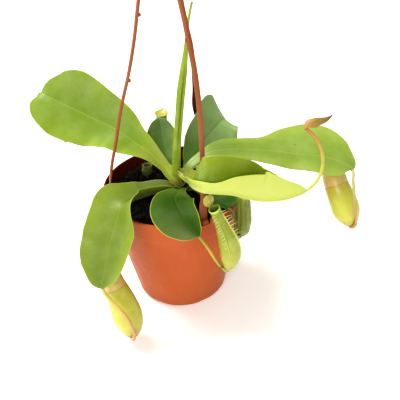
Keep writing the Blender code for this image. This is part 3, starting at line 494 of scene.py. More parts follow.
def leaf_shape(spec, blade_n=130, tendril_n=70, stalk_n=24):
    """A leaf as one closed skin. The midrib is a smooth curve; the blade's half widths are read from a
    list per side and closed by a quarter ellipse at the tip; each half is an arc of the cup angle turned
    by the fold angle, plus a ripple that grows with the square of the distance from the midrib. The top
    has a groove at the midrib and the underside a rib; the margin is rounded over its thickness. Past the
    tip the section turns into the round one of the tendril."""
    path = spec["path"]
    k = curve(path)[2]
    sb, st = k[spec["base"]], k[spec["tip"]]
    x = np.linspace(0, 1, blade_n + 1)
    x = np.where(x > 0.5, 1 - 0.5 * ((1 - x) / 0.5) ** 1.5, x)
    s = np.concatenate([np.linspace(0, sb, stalk_n, endpoint=False), sb + (st - sb) * x])
    s = np.concatenate([s, st + (1 - st) * (np.arange(1, tendril_n + 1) / tendril_n) ** 1.15])
    p, t, k, length = curve_at(path, s)
    face = track(spec["face"], k, s)
    up = unit(face - (face * t).sum(-1, keepdims=True) * t)
    side = np.cross(t, up)
    xb = np.clip((s - sb) / (st - sb), 0, 1)
    start = 1 - spec.get("cap", 0.22)
    close = np.sqrt(np.clip(1 - (np.clip(xb - start, 0, 1) / (1 - start)) ** 2, 0, 1))
    tendril = track(spec.get("tendril", 1.3), k, s)
    blend = smooth((s - sb) / (0.1 * (st - sb)) + 0.5)
    ripple_size, ripple_count, phase = spec.get("ripple", (0.5, 5.0, 0.0))
    v = STATIONS
    nv = len(v)
    half = (v >= 0).astype(int)
    sign = np.where(v < 0, -1.0, 1.0)
    av = np.abs(v)

    def pair(value):
        """A value per side, each read along the leaf."""
        return np.stack([track(one, k, s) for one in value], -1)

    w = np.stack([eased(one, xb) for one in spec["widths"]], -1)
    w = w * close[:, None] + (0.8 * tendril * (1 - close))[:, None]
    stalk = pair(spec["stalk"] if isinstance(spec["stalk"], tuple) else (spec["stalk"], spec["stalk"]))
    w = stalk * (1 - blend)[:, None] + w * blend[:, None]
    w = np.where((s < st)[:, None], w, (0.8 * tendril)[:, None])[:, half]
    cup = pair(spec["cup"])[:, half]
    cup = np.where(np.abs(cup) < 1e-3, 1e-3, cup)
    fold = pair(spec.get("fold", (0.1, 0.1)))[:, half]
    lat = w * np.sin(cup * av) / cup
    rise = w * (1 - np.cos(cup * av)) / cup
    swing = 2 * math.pi * ripple_count * xb[:, None]
    wave = np.sin(swing + phase + 2.1 * half) + 0.5 * np.sin(1.7 * swing + 2 * phase - 1.3 * half)
    rise = rise + ripple_size * wave * av ** 2 * np.sin(math.pi * np.clip(xb, 0, 1))[:, None] ** 0.7
    across = lat * np.cos(fold) - rise * np.sin(fold)
    height = lat * np.sin(fold) + rise * np.cos(fold)
    angle = fold + cup * av
    normal = np.stack([-np.sin(angle) * sign, np.cos(angle)], -1)
    centre = np.stack([across * sign, height], -1)
    from_edge = (1 - av) * w
    rounding = np.clip(1 - from_edge / EDGE_ROUND, 0, 1)
    lens = np.sqrt(np.clip(1 - rounding ** 2, 0.004, 1))
    rib = np.exp(-(av * w / RIB_WIDE) ** 2)
    groove = spec.get("groove", 0.3) * np.exp(-(av * w / GROOVE_WIDE) ** 2)
    groove = groove * (smooth(xb / 0.1) * close)[:, None]
    top = centre + normal * (0.5 * EDGE_THICK * lens - groove)[..., None]
    low = centre - normal * (0.5 * EDGE_THICK * lens + (RIB_THICK - EDGE_THICK) * rib)[..., None]
    ring = np.concatenate([top, low[:, ::-1]], 1)
    turn = math.pi - math.pi * (np.concatenate([v, 2 + v]) * 0.5 + 0.5)
    circle = np.stack([tendril[:, None] * np.cos(turn), tendril[:, None] * np.sin(turn)], -1)
    rounding = smooth((s - st + ROUND_BEFORE / length) / ((ROUND_BEFORE + ROUND_AFTER) / length))
    ring = ring + (circle - ring) * rounding[:, None, None]
    rings = swept(p, side, up, ring[..., 0], ring[..., 1])
    past = np.clip((s - st) / (1 - st), 0, 1)
    along = np.where(s <= st, xb, 1 + past) - np.where(s < sb, (sb - s) / sb * 0.2, 0)
    both = np.concatenate([np.arange(nv), np.arange(nv)[::-1]])
    blade = (s < st)[:, None]
    layers = {
        "across": np.where(blade, av[both][None, :], 0.0),
        "along": np.repeat(along[:, None], 2 * nv, 1),
        "run_mm": np.repeat((s * length)[:, None], 2 * nv, 1),
        "side": np.where(blade, 0.5 + 0.5 * v[both][None, :], 0.5),
        "edge_mm": np.where(blade, from_edge[:, both], 9.0),
        "rib_mm": np.where(blade, (av * w)[:, both], 9.0),
        "under": np.repeat(np.concatenate([np.zeros(nv), np.ones(nv)])[None, :], len(s), 0),
    }
    return loft(rings), {key: values.ravel() for key, values in layers.items()}


def turn_angles(at, count=56):
    """Angles round a pitcher, closer together at its two front wings."""
    near = np.array([-0.14, -0.09, -0.06, -0.035, -0.015, 0.0, 0.015, 0.035, 0.06, 0.09, 0.14])
    every = np.linspace(0, 2 * math.pi, count, endpoint=False)
    wings = np.concatenate([at + near, 2 * math.pi - at + near])
    far = np.abs(every[:, None] - wings[None, :]).min(1) > 0.05
    return np.sort(np.concatenate([every[far], wings]))


def pitcher_core(spec, s):
    """The bent axis of a pitcher from its lowest point up, with its front, its side and its radius at the
    fractions s; below the bulb fraction the radius closes like a quarter of an ellipse."""
    p, t = curve_at(spec["path"][1:], s)[:2]
    front = carried_frame(p, t, spec["front"])
    close = np.sqrt(np.clip(1 - (1 - np.clip(s / spec.get("bulb", BULB), 0, 1)) ** 2, 0, 1))
    return p, t, front, np.cross(t, front), eased(spec["radii"], s) * close + 0.02


def pitcher_shape(spec, outer_n=120, inner_n=50):
    """A hollow pitcher as one closed skin: a radius read along the bent axis, sheared to an oblique mouth;
    two wings stand out at the front; the lip rolls over in a ribbed half circle and the inside comes back
    at one wall's distance. The end of the tendril runs into its foot as a thin tube."""
    bulb, wing_at = spec.get("bulb", BULB), spec.get("wing_at", WING_AT)
    foot_n = 26
    s = np.concatenate([bulb * (1 - np.cos(np.linspace(0, math.pi / 2, foot_n)))[:-1],
                        np.linspace(bulb, 1, outer_n - foot_n + 1)])
    p, t, front, side, r = pitcher_core(spec, s)
    phi = turn_angles(wing_at)
    gap = np.minimum(np.abs(phi - wing_at), np.abs(phi - 2 * math.pi + wing_at))
    wing_shape = np.exp(-(gap / 0.045) ** 2)
    tilt, lip = spec.get("tilt", TILT), spec.get("lip", 1.2)
    end = len(s) - 1

    def ring(i, radius, lift, wing, shear):
        """Circles about the axis: wings add to the radius, the shear lowers the front and lifts the back."""
        rad = radius[:, None] + wing[:, None] * wing_shape
        rise = lift[:, None] - (shear * tilt * radius)[:, None] * np.cos(phi)
        round_ = np.cos(phi)[:, None] * front[i][:, None] + np.sin(phi)[:, None] * side[i][:, None]
        return p[i][:, None] + rad[..., None] * round_ + rise[..., None] * t[i][:, None]

    shear = smooth((s - 0.72) / 0.28)
    wing = spec.get("wing", WING) * smooth((s - 0.2) / 0.25) * smooth((0.97 - s) / 0.12)
    none = np.zeros(outer_n)
    outer = ring(np.arange(outer_n), r, none, wing, shear)
    a = np.linspace(0.0, math.pi, 14)
    at = np.full(len(a), end)
    ribs = 0.10 * lip * np.cos(46 * phi)
    roll_r = r[end] + 0.1 * lip + 0.9 * lip * np.sin(a) - 0.9 * lip * a / math.pi
    roll_h = 0.55 * lip * (1 - np.cos(a)) * 0.9
    rolled = ring(at, roll_r, roll_h, none[:len(a)], np.ones(len(a)))
    out = np.cos(phi)[:, None] * front[end] + np.sin(phi)[:, None] * side[end]
    rolled = rolled + (ribs[None, :] * np.sin(a)[:, None])[..., None] * (0.5 * out[None] + 0.8 * t[end])
    picks = np.linspace(end, PITCHER_FLOOR * outer_n, inner_n).round().astype(int)
    inner_r = np.maximum(r[picks] - PITCHER_WALL, 0.6)
    inner = ring(picks, inner_r, none[:inner_n], none[:inner_n], shear[picks])
    rings = np.concatenate([outer, rolled, inner])

    def layer(on_outer, on_lip, on_inner):
        """One value per ring, repeated round it."""
        return np.concatenate([on_outer, on_lip, on_inner])[:, None] * np.ones(len(phi))

    layers = {
        "along": layer(s, np.ones(len(a)), s[picks]),
        "inside": layer(none, smooth((a - 2.2) / 0.9), np.ones(inner_n)),
        "lip": layer(smooth((s - 0.975) / 0.02), np.ones(len(a)), none[:inner_n]),
        "wing": layer(wing / max(wing.max(), 1e-6), none[:len(a)], none[:inner_n]) * wing_shape,
        "turn": layer(none, none[:len(a)], none[:inner_n]) + phi,
    }
    foot = [np.asarray(q, float) for q in spec["path"][:3]]
    bend = 0.5 * (foot[0] + foot[1]) + np.array(spec.get("hook", (0.0, 0.0, -0.8)))
    keel = spec.get("keel", 1.6)
    hook = tube([foot[0], bend, foot[1], 0.6 * foot[1] + 0.4 * foot[2]],
                [1.15, 0.5 * keel + 0.6, keel, 0.7 * keel], 36, 20)
    layers = {key: values.ravel() for key, values in layers.items()}
    return joined([loft(rings), hook]), layers, (p[end], t[end], front[end], side[end], r[end])


def lid_shape(spec, mouth, frill=0.0):
    """An oval lid: a grid over its length and width, domed along both, with a rounded edge; a frill adds a
    fine ripple to the outline."""
    centre, t, front, side, r = mouth
    length, width, lift = spec["lid"]
    hinge = centre - front * (r + 0.2) + t * (spec.get("tilt", TILT) * r + 0.3)
    along = unit(math.cos(lift) * front + math.sin(lift) * t)
    normal = np.cross(along, side)
    u = np.linspace(0, 1, 44)
    v = np.linspace(-1, 1, 25)
    half = eased([1.6, 2.2, 0.72 * width, 0.95 * width, width, 0.96 * width, 0.8 * width, 0.45 * width], u)
    half = np.minimum(half, width) * np.sqrt(np.clip(1 - smooth((u - 0.86) / 0.14) ** 2 * 0.96, 0, 1))
    half = half * (1 + frill * np.sin(u * 70))
    x = -0.06 + 1.06 * u
    bow = -0.12 * length * np.sin(math.pi * np.clip(x, 0, 1))
    keel = 0.25 * np.exp(-(v[None, :] * half[:, None] / 0.6) ** 2)
    drop = 0.25 * half[:, None] * v ** 2
    mid = (hinge + along * (length * x)[:, None, None] + side * (half[:, None] * v)[..., None]
           + normal * (bow[:, None] + drop)[..., None])
    thick = 0.42 * np.sqrt(np.clip(1 - (np.clip(np.abs(v) - 0.85, 0, 1) / 0.15) ** 2, 0.01, 1))
    top = mid - normal * (thick[None, :] + keel)[..., None]
    low = mid + normal * thick[None, :, None]
    return loft(np.concatenate([top, low[:, ::-1]], 1))


def hair_shape(roots, tips, radius, bend, rings=5, sides=5):
    """Tapered hairs as closed cones: each runs from its root to its tip on a parabola that sags by the
    bend, its radius falling with the distance from the root."""
    f = np.linspace(0, 1, rings)
    run = tips - roots
    axis = unit(run)
    a = unit(np.cross(axis, np.array([0.31, 0.77, 0.55])))
    b = np.cross(axis, a)
    mid = roots[:, None] + run[:, None] * f[None, :, None] + bend[:, None] * (4 * f * (1 - f))[None, :, None]
    ang = around(sides)
    width = radius * (1 - 0.85 * f)
    offs = np.cos(ang)[:, None] * a[:, None, None] + np.sin(ang)[:, None] * b[:, None, None]
    grid = mid[:, :, None] + width[None, :, None, None] * offs
    n = len(roots)
    one = rings * sides
    i = np.arange(rings - 1)[:, None]
    j = np.arange(sides)[None, :]
    k = (j + 1) % sides
    quads = np.stack([i * sides + j, i * sides + k, (i + 1) * sides + k, (i + 1) * sides + j], -1)
    quads = quads.reshape(-1, 4)
    quads = (np.arange(n)[:, None, None] * one + quads[None]).reshape(-1, 4)
    fan = np.arange(1, sides - 1)
    foot = np.stack([np.zeros_like(fan), fan + 1, fan], -1)
    head = (rings - 1) * sides + np.stack([np.zeros_like(fan), fan, fan + 1], -1)
    tris = np.concatenate([foot, head])
    tris = (np.arange(n)[:, None, None] * one + tris[None]).reshape(-1, 3)
    return grid.reshape(-1, 3), quads, tris


def fringe(name, spec, finish, slot, wing, count, reach, seed, span=(0.3, 0.98), aside=0.5, radius=0.24):
    """A row of hairs along one wing of a pitcher, leaning outwards, aside and a little up."""
    rng = np.random.default_rng(seed)
    s = np.linspace(span[0], span[1], count)
    p, t, front, side, r = pitcher_core(spec, s)
    phi = spec.get("wing_at", WING_AT) * wing
    out = math.cos(phi) * front + math.sin(phi) * side
    rise = -smooth((s - 0.72) / 0.28) * spec.get("tilt", TILT) * r * math.cos(phi)
    height = spec.get("wing", WING) * smooth((s - 0.2) / 0.25) * smooth((0.97 - s) / 0.12)
    roots = p + out * (r + height - 0.25)[:, None] + t * rise[:, None]
    lean = aside * wing * side + 0.25 * t
    direction = unit(out + lean + rng.normal(0, 0.16, (count, 3)))
    tips = roots + direction * (reach * rng.uniform(0.65, 1.15, count))[:, None]
    bend = rng.normal(0, 0.22, (count, 3)) + 0.15 * t
    piece(name, hair_shape(roots, tips, radius, bend), finish, outward=False)


def lathe(profile, steps, warp=None):
    """A closed profile of radius and height turned once round; the warp may move the points."""
    a = around(steps)
    prof = np.asarray(profile, float)
    grid = np.stack([prof[:, :1] * np.cos(a), prof[:, :1] * np.sin(a), np.repeat(prof[:, 1:], steps, 1)], -1)
    return loft(grid if warp is None else warp(grid))


def rounded(points, radius, steps=4):
    """The corners of an open profile cut by small arcs of about the radius."""
    pts = [np.asarray(q, float) for q in points]
    out = [pts[0]]
    for a, b, c in zip(pts, pts[1:], pts[2:]):
        da, dc = np.linalg.norm(a - b), np.linalg.norm(c - b)
        cut = min(radius, 0.45 * da, 0.45 * dc)
        start, stop = b + (a - b) / da * cut, b + (c - b) / dc * cut
        for f in np.linspace(0, 1, steps):
            out.append((1 - f) ** 2 * start + 2 * f * (1 - f) * b + f * f * stop)
    out.append(pts[-1])
    return out


def outer_radius(z):
    """The outer radius of the pot's plain wall at a height."""
    return BASE_R + (RIM_R - BASE_R) * z / POT_H


def finer(profile, step):
    """The profile with points added so that none of its stretches is longer than the step."""
    out = [profile[0]]
    for a, b in zip(profile, profile[1:]):
        n = max(int(np.ceil(np.linalg.norm(np.asarray(b) - np.asarray(a)) / step)), 1)
        for f in np.arange(1, n + 1) / n:
            out.append(tuple(np.asarray(a) * (1 - f) + np.asarray(b) * f))
    return out


ARMS = {
    "left": [(-53.6, -2.8, 99.5), (-53.4, -2.8, 107), (-52, -3, 116), (-49, -3, 130), (-43, -3, 150.5),
        (-36, -3, 176.5), (-25.5, -4, 208.5), (-19, -5, 232), (-14.5, -6, 252), (-11.5, -7, 266),
        (-5, -10.5, 300), APEX],
    "front": [(22.4, -50.4, 99.5), (22.3, -50.6, 107), (22.8, -50, 117), (22.8, -47.5, 130.5),
        (23.8, -46.5, 151), (24.2, -48, 173), (23.5, -48.5, 203), (22, -46, 223), (19.5, -42, 241.5),
        (16.5, -35, 260), (9, -24, 296), APEX],
    "back": [(29.6, 45.2, 99.5), (29.4, 45.0, 107), (28, 44.5, 119), (23.5, 42, 140), (20.5, 37.5, 157),
        (21.5, 30, 178), (21.5, 21.5, 199.5), (20.5, 11.5, 219.5), (17.5, 1, 241), (15, -4, 260),
        (8.5, -10, 296), APEX],
}

LEAVES = {
    "leaf_left": dict(
        path=[(5.8, -14, 111.7), (2, -12, 116.5), (-1.8, -8.5, 119.8), (-6.5, -3.8, 122.6), (-20, 5, 135),
            (-32.5, 13.5, 141.5), (-45.5, 22, 148.5), (-65.5, 29, 156.5), (-82, 34, 164.5),
            (-98.5, 39, 172), (-106.8, 44, 174), (-112.6, 53, 165), (-111.7, 59.5, 149.5),
            (-107, 62, 133.5), (-103.6, 61.2, 124.5), (-101.38, 60.67, 120.72)],
        base=3, tip=10, stalk=[3.0, 6.2, 6.6, 6.2, 6],
        widths=([6, 8.5, 16, 21.5, 25, 31, 34, 34, 33], [6, 8.5, 13, 19, 25, 29, 31.5, 31, 29.5]),
        face=[(-0.1, -0.6, 0.8), (-0.2, -0.5, 0.8), (-0.1, -0.45, 0.8), (0.2, -0.4, 0.8),
            (0.35, -0.6, 0.65), (0.35, -0.76, 0.52), (0.35, -0.76, 0.52), (0.35, -0.74, 0.55),
            (0.35, -0.7, 0.6), (0.35, -0.65, 0.65), (0.2, -0.6, 0.7)],
        cup=([0.9, 0.9, 0.8, 0.7, 0.5], [0.9, 0.9, 0.8, 0.7, 0.5]),
        fold=([0.5, 0.4, 0.35, 0.3, 0.1], [0.5, 0.4, 0.35, 0.3, 0.1]), tendril=1.2),
    "leaf_front_left": dict(
        path=[(3.3, -13, 110), (-7.3, -15.5, 110.7), (-15.3, -20, 111.4), (-22.7, -28, 114.2),
            (-31.1, -38, 118.5), (-38.5, -48, 120.2), (-45.4, -62.0, 107.7), (-50.5, -69.0, 94.4),
            (-54.7, -75.0, 80.9), (-58.1, -79.5, 66.1), (-52, -84.5, 57), (-46, -88.2, 52),
            (-42, -90.1, 45.5), (-38.8, -90.6, 35), (-37.8, -89, 25), (-38.55, -85.82, 19.38)],
        base=1, tip=9, stalk=([3, 6, 7], [4, 8, 11]),
        widths=([6, 7, 8, 10.5, 16, 20.5, 20.5, 18.5, 16, 13.5, 11], [9, 12, 15, 17.5, 22.5, 23.5, 23.5, 23,
            21, 18.5, 16]),
        face=[(-0.1, -0.2, 1), (-0.1, -0.2, 1), (-0.1, -0.25, 1), (-0.2, -0.3, 1), (-0.35, -0.45, 0.85),
            (-0.5, -0.7, 0.6), (-0.45, -0.85, 0.3), (-0.4, -0.9, 0.2), (-0.3, -0.95, 0.1),
            (-0.3, -0.95, 0.1)],
        cup=([0.5, 0.4, 0.3, 0.3, 0.4, 0.5, 0.6], [0.4, 0.4, 0.4, 0.4, 0.5, 0.6]),
        fold=([0.9, 1.1, 1.3, 1.3, 0.9, 0.4, -0.1], [0.5, 0.4, 0.3, 0.3, 0.3, 0.1, -0.1]), tendril=1.3),
    "leaf_front": dict(
        path=[(7.0, -13.3, 110.6), (4.0, -20, 111.8), (1, -31, 114), (2.5, -44, 115.5), (7, -56, 113.5),
            (12.5, -63.5, 108), (18, -67.5, 102.5), (24.5, -68.5, 91), (30, -68, 78), (33, -67.5, 72),
            (35.05, -67.05, 69.31)],
        base=1, tip=6, stalk=[3.4, 6],
        widths=([7, 13.5, 15.5, 14.5, 13, 12, 11, 10, 9], [5.5, 10.5, 16.5, 20, 22, 21.5, 19, 15.5, 13]),
        ripple=(0.2, 4.0, 0.0),
        face=[(0, -0.1, 1), (0.1, -0.2, 1), (0.1, -0.35, 0.9), (0.05, -0.45, 0.85), (0, -0.6, 0.75),
            (-0.1, -0.8, 0.6), (-0.1, -0.9, 0.4)],
        cup=(-0.25, -0.15), tendril=1.1, cap=0.3),
    "leaf_right_young": dict(
        path=[(2.9, -13, 125.5), (6.3, -15, 122.8), (10.2, -20, 121.9), (14.0, -30, 125.3),
            (14.5, -42.2, 132.2), (19.1, -57.6, 138.2), (25, -65.6, 141), (43, -67.8, 139.5),
            (63.5, -67, 132), (81, -69, 133.5), (96.5, -67, 138.5), (105, -63, 145), (108, -60, 156),
            (105, -57, 170), (100.3, -54, 176.2), (95.8, -51.3, 179.4)],
        base=2, tip=10, stalk=([4, 8.5, 10, 10.5], [2.8, 4.2, 4.6, 5]),
        widths=([10, 10.5, 12.5, 17, 25, 27, 26.5, 24.5, 21, 16, 12], [4.6, 5.6, 7, 8, 8.8, 11, 18.5, 23.3,
            24.5, 19.5, 16]),
        face=[(0.5, 0.2, 1), (0.3, 0.2, 1)] + [(0, 0.2, 1)] * 9,
        cup=([0.9, 0.7, 0.5, 0.3], [0.9, 0.7, 0.5, 0.35]),
        fold=([0.6, 0.7, 0.8, 0.9, 1.0, 1.2, 1.25, 1.2, 1.05, 0.9, 0.8], [0.6, 0.7, 0.8, 0.85, 0.95, 1.05,
            1.05, 1.1, 1.15, 1.2, 1.1]),
        tendril=1.2),
    "leaf_right": dict(
        path=[(5.6, -4.8, 112), (13, -1, 122.5), (27, 6, 129), (41, 10, 130), (62, 11, 128.5),
            (82.5, 8, 127.5), (101, 3, 126), (120.5, -3, 126), (135, -9, 123.5), (144.5, -15, 119),
            (143.5, -23.5, 114), (144, -29, 105), (145.5, -31.5, 91.5), (148.2, -30.5, 80.5),
            (149.23, -27.44, 75.5)],
        base=2, tip=9, groove=0.15, stalk=[2.6, 3.6, 5],
        widths=([6, 11, 12, 14, 26, 33, 33, 26, 17], [6, 9.5, 10, 13, 15.5, 16, 17, 18, 19]),
        ripple=(0.25, 4.0, 0.0),
        face=[(0, -0.3, 1)] * 2 + [(0, -0.35, 1)] * 4 + [(0.05, -0.4, 1), (0.1, -0.4, 1), (0.2, -0.5, 0.9),
            (0.3, -0.5, 0.8)],
        cup=(-0.2, -0.2), tendril=1.2),
    "leaf_back_right": dict(
        path=[(5, -2.4, 104.5), (13, 8, 117), (21, 17, 125), (29, 27, 132.5), (37, 37.5, 136),
            (45.3, 46, 139), (50, 54, 130), (52, 59, 114), (52.5, 62, 98), (53, 63, 89)],
        base=1, tip=7, stalk=[2.6, 4.5, 6],
        widths=([6, 13, 19, 22, 24, 25.5, 24, 21, 16], [6, 11, 18, 23, 24, 18, 12, 8, 5]),
        face=[(0, -0.6, 0.8), (0.1, -0.6, 0.8), (0.3, -0.65, 0.6), (0.5, -0.65, 0.5), (0.58, -0.5, 0.6),
            (0.6, -0.1, 0.8), (0.65, 0.4, 0.6), (0.7, 0.6, 0.3)],
        cup=(0.25, 0.25), tendril=[1.2] * 9 + [2.4]),
    "leaf_back_left": dict(
        path=[(-0.4, -1.4, 111), (-4.5, 8, 124), (-7, 18, 133), (-8.5, 26, 141.5), (-9.5, 32, 151),
            (-9.5, 36.5, 149), (-9.5, 39.5, 139), (-9.5, 40, 131), (-9.02, 41.32, 128.5)],
        base=1, tip=4, stalk=[2.4, 3.5, 5], cap=0.5, ripple=(0.15, 4.0, 0.0),
        widths=([4, 8, 10.5, 12, 13, 13.5, 13.5, 13, 12], [5, 8.5, 10, 11, 12, 12.5, 12.5, 12, 12]),
        face=[(0, -0.6, 0.8)] * 3 + [(0, -0.5, 0.8), (0, -0.5, 0.9)], cup=(0.3, 0.3), tendril=1.0),
    "leaf_low_right": dict(
        path=[(6.2, -8.8, 104), (17, -15.5, 110.5), (27, -22, 112.5), (32, -29, 108.5), (38, -36, 108),
            (42, -45, 110), (44.5, -50.5, 111), (46.2, -53.5, 107), (46.6, -52.5, 98), (47.5, -49.5, 89),
            (48.68, -46.7, 83.63)],
        base=1, tip=5, stalk=[2.2, 3],
        widths=([3, 6, 9, 11, 12.5, 13.5, 13.5, 12.5, 11], [3, 6, 8, 9.5, 11, 12, 12, 11, 10]),
        face=[(0, -0.3, 1), (0, -0.3, 1), (0, -0.5, 1), (0.2, -0.5, 1), (0.3, -0.5, 1)], cup=(0.2, 0.2),
        tendril=0.9),
}

SPEAR = dict(
    path=[(2.3, -7.6, 118.05), (3.2, -8, 131), (5.6, -8, 151.5), (8.6, -8, 173), (11.6, -7, 193),
        (14.3, -6.5, 208.5), (16.6, -6, 223), (18, -6, 233.5), (20, -5.5, 245), (22.8, -5.5, 256)],
    radii=[3.6, 3.5, 3.1, 3.1, 3.3, 2.75, 1.7, 1.05, 0.9, 0.85])

PITCHERS = {
    "pitcher_left": dict(
        path=[(-100.9, 60.55, 120.15), (-97.5, 60, 118.8), (-95, 61, 128), (-93.5, 63.5, 143),
            (-92, 66, 158.5)],
        front=(-0.5, -0.8, 0), radii=[5.5, 7.5, 8, 7, 6, 5.4, 5.2, 5.2], lid=(6.2, 4.4, 0.9)),
    "pitcher_front_left": dict(
        path=[(-38.6, -85.6, 19), (-41.5, -80, 8.6), (-42.3, -75.5, 18.5), (-44.8, -71, 29.5),
            (-48, -67.5, 42.5), (-52, -64, 53), (-55, -60.5, 62), (-57, -57, 70.5)],
        front=(0.2, -1, 0), radii=[10.5, 11.8, 12.3, 12.2, 11.5, 10.6, 9.8, 9.1, 8.7, 8.5],
        lid=(13, 7.5, 1.1), bulb=0.33, wing=0, hook=(0.3, -2.4, -0.5), keel=2.3),
    "pitcher_front": dict(
        path=[(35.1, -67.1, 69.2), (38.6, -66.5, 65.2), (40.6, -66, 72), (41.5, -66, 86),
            (39, -66.5, 100.5), (35, -67.5, 114.5), (30.5, -68.5, 127.5)],
        front=(0.52, -0.85, 0), radii=[5.0, 6.8, 7.9, 8.3, 8.0, 7.0, 5.9, 5.0, 4.4, 4.1],
        lid=(12.2, 4.4, 1.38), tilt=0.02, lip=0.6, bulb=0.26, wing_at=0.62),
    "pitcher_right": dict(
        path=[(149.2, -27.2, 75.2), (147.9, -21, 65.6), (145.4, -17.5, 74), (141.6, -14, 84.5),
            (137.7, -11, 94), (135.3, -7, 100), (133.8, -2, 106), (133, 3, 112)],
        front=(0.45, -0.9, 0), radii=[10.3, 11.5, 11.9, 11.8, 11.4, 10.9, 10.4, 10.0, 9.6, 9.4],
        lid=(11, 7, 0.62), tilt=0.3, bulb=0.36, wing=0, hook=(0.9, -1.8, 0.0), keel=2.3),
    "pitcher_back_left": dict(
        path=[(-9, 41.8, 128), (-9.2, 45.5, 126), (-9, 48.5, 131.5), (-9, 49, 139), (-8.5, 49.5, 146)],
        front=(-0.4, -0.9, 0), radii=[4.2, 5.1, 5.2, 5.0, 4.9, 4.8, 4.9], lid=(11.5, 6.0, -0.3), lip=0.5,
        wing=0.6),
    "pitcher_low_right": dict(
        path=[(48.8, -46.5, 83.3), (51, -43, 79.5), (52.6, -40.8, 84.2), (53.2, -40.6, 93),
            (53.5, -40.4, 105), (53.2, -39, 118.5)],
        front=(0.8, -0.6, 0), radii=[5.4, 6.5, 6.6, 6.3, 5.9, 5.5, 5.2, 5.1, 5.1], lid=(7.5, 4.5, 1.32)),
}

BUD = dict(
    path=[(95.6, -51.2, 179.8), (98.3, -50.5, 182.5), (102.5, -50, 182.8), (106.8, -49, 183.3),
        (111.1, -48, 184), (115.2, -47, 186.6)],
    wide=[1.2, 3.0, 3.5, 2.6, 1.6, 0.25], deep=[1.2, 1.6, 2.0, 1.6, 1.0, 0.25])


def build_camera():
    """The photograph's view: a 50 mm lens on a square 36 mm frame, looking down at the pot."""
    ahead = unit(CAMERA_AHEAD)
    right = unit(np.cross(ahead, CAMERA_UP))
    up = np.cross(right, ahead)
    data = bpy.data.cameras.new("camera")
    data.lens = LENS
    data.sensor_width = SENSOR
    data.clip_start, data.clip_end = 0.02, 50.0
    turn = Matrix(np.stack([right, up, -ahead], -1).tolist()).to_4x4()
    cam = placed("camera", data)
    cam.matrix_world = Matrix.Translation(Vector(CAMERA_AT) * MM) @ turn
    bpy.context.scene.camera = cam


def area_light(name, at, power, colour=(1, 1, 1)):
    """A round lamp that points at the pot."""
    data = bpy.data.lights.new(name, "AREA")
    data.shape = "DISK"
    data.size = LAMP_SIZE
    data.energy = power
    data.color = colour
    lamp = placed(name, data)
    lamp.location = at
    lamp.rotation_mode = "QUATERNION"
    lamp.rotation_quaternion = (Vector(LAMP_AIM) - Vector(at)).to_track_quat("-Z", "Y")


def build_stage():
    """A pale plain floor, a soft key from the upper left behind, a weak light from the front and an even
    white surround."""
    world = bpy.data.worlds.new("studio")
    world.use_nodes = True
    surround = world.node_tree.nodes["Background"]
    surround.inputs["Color"].default_value = (1.0, 0.99, 0.98, 1.0)
    surround.inputs["Strength"].default_value = WORLD_STRENGTH
    scene = bpy.context.scene
    scene.world = world
    scene.view_settings.view_transform = "Standard"
    scene.view_settings.look = "Medium High Contrast"
    area_light("key", (-0.55, 0.35, 1.4), KEY_POWER, (1.0, 0.985, 0.96))
    area_light("front", (-0.35, -1.2, 0.75), FRONT_POWER)
    mesh = bpy.data.meshes.new("floor")
    s = STAGE_HALF
    mesh.from_pydata([(-s, -s, 0), (s, -s, 0), (s, s, 0), (-s, s, 0)], [], [(0, 1, 2, 3)])
    mat, tree, shader = new_finish("floor")
    tone = ranged(tree, noise(tree, object_place(tree), 3.0, 2), 0.3, 0.7)
    dress(tree, shader, Base_Color=mixed(tree, tone, (0.93, 0.925, 0.90), (0.95, 0.945, 0.925)),
          Roughness=0.6, Specular_IOR_Level=0.2, Emission_Color=(1.0, 1.0, 0.965), Emission_Strength=0.19)
    mesh.materials.append(mat)
    floor = placed("floor", mesh)


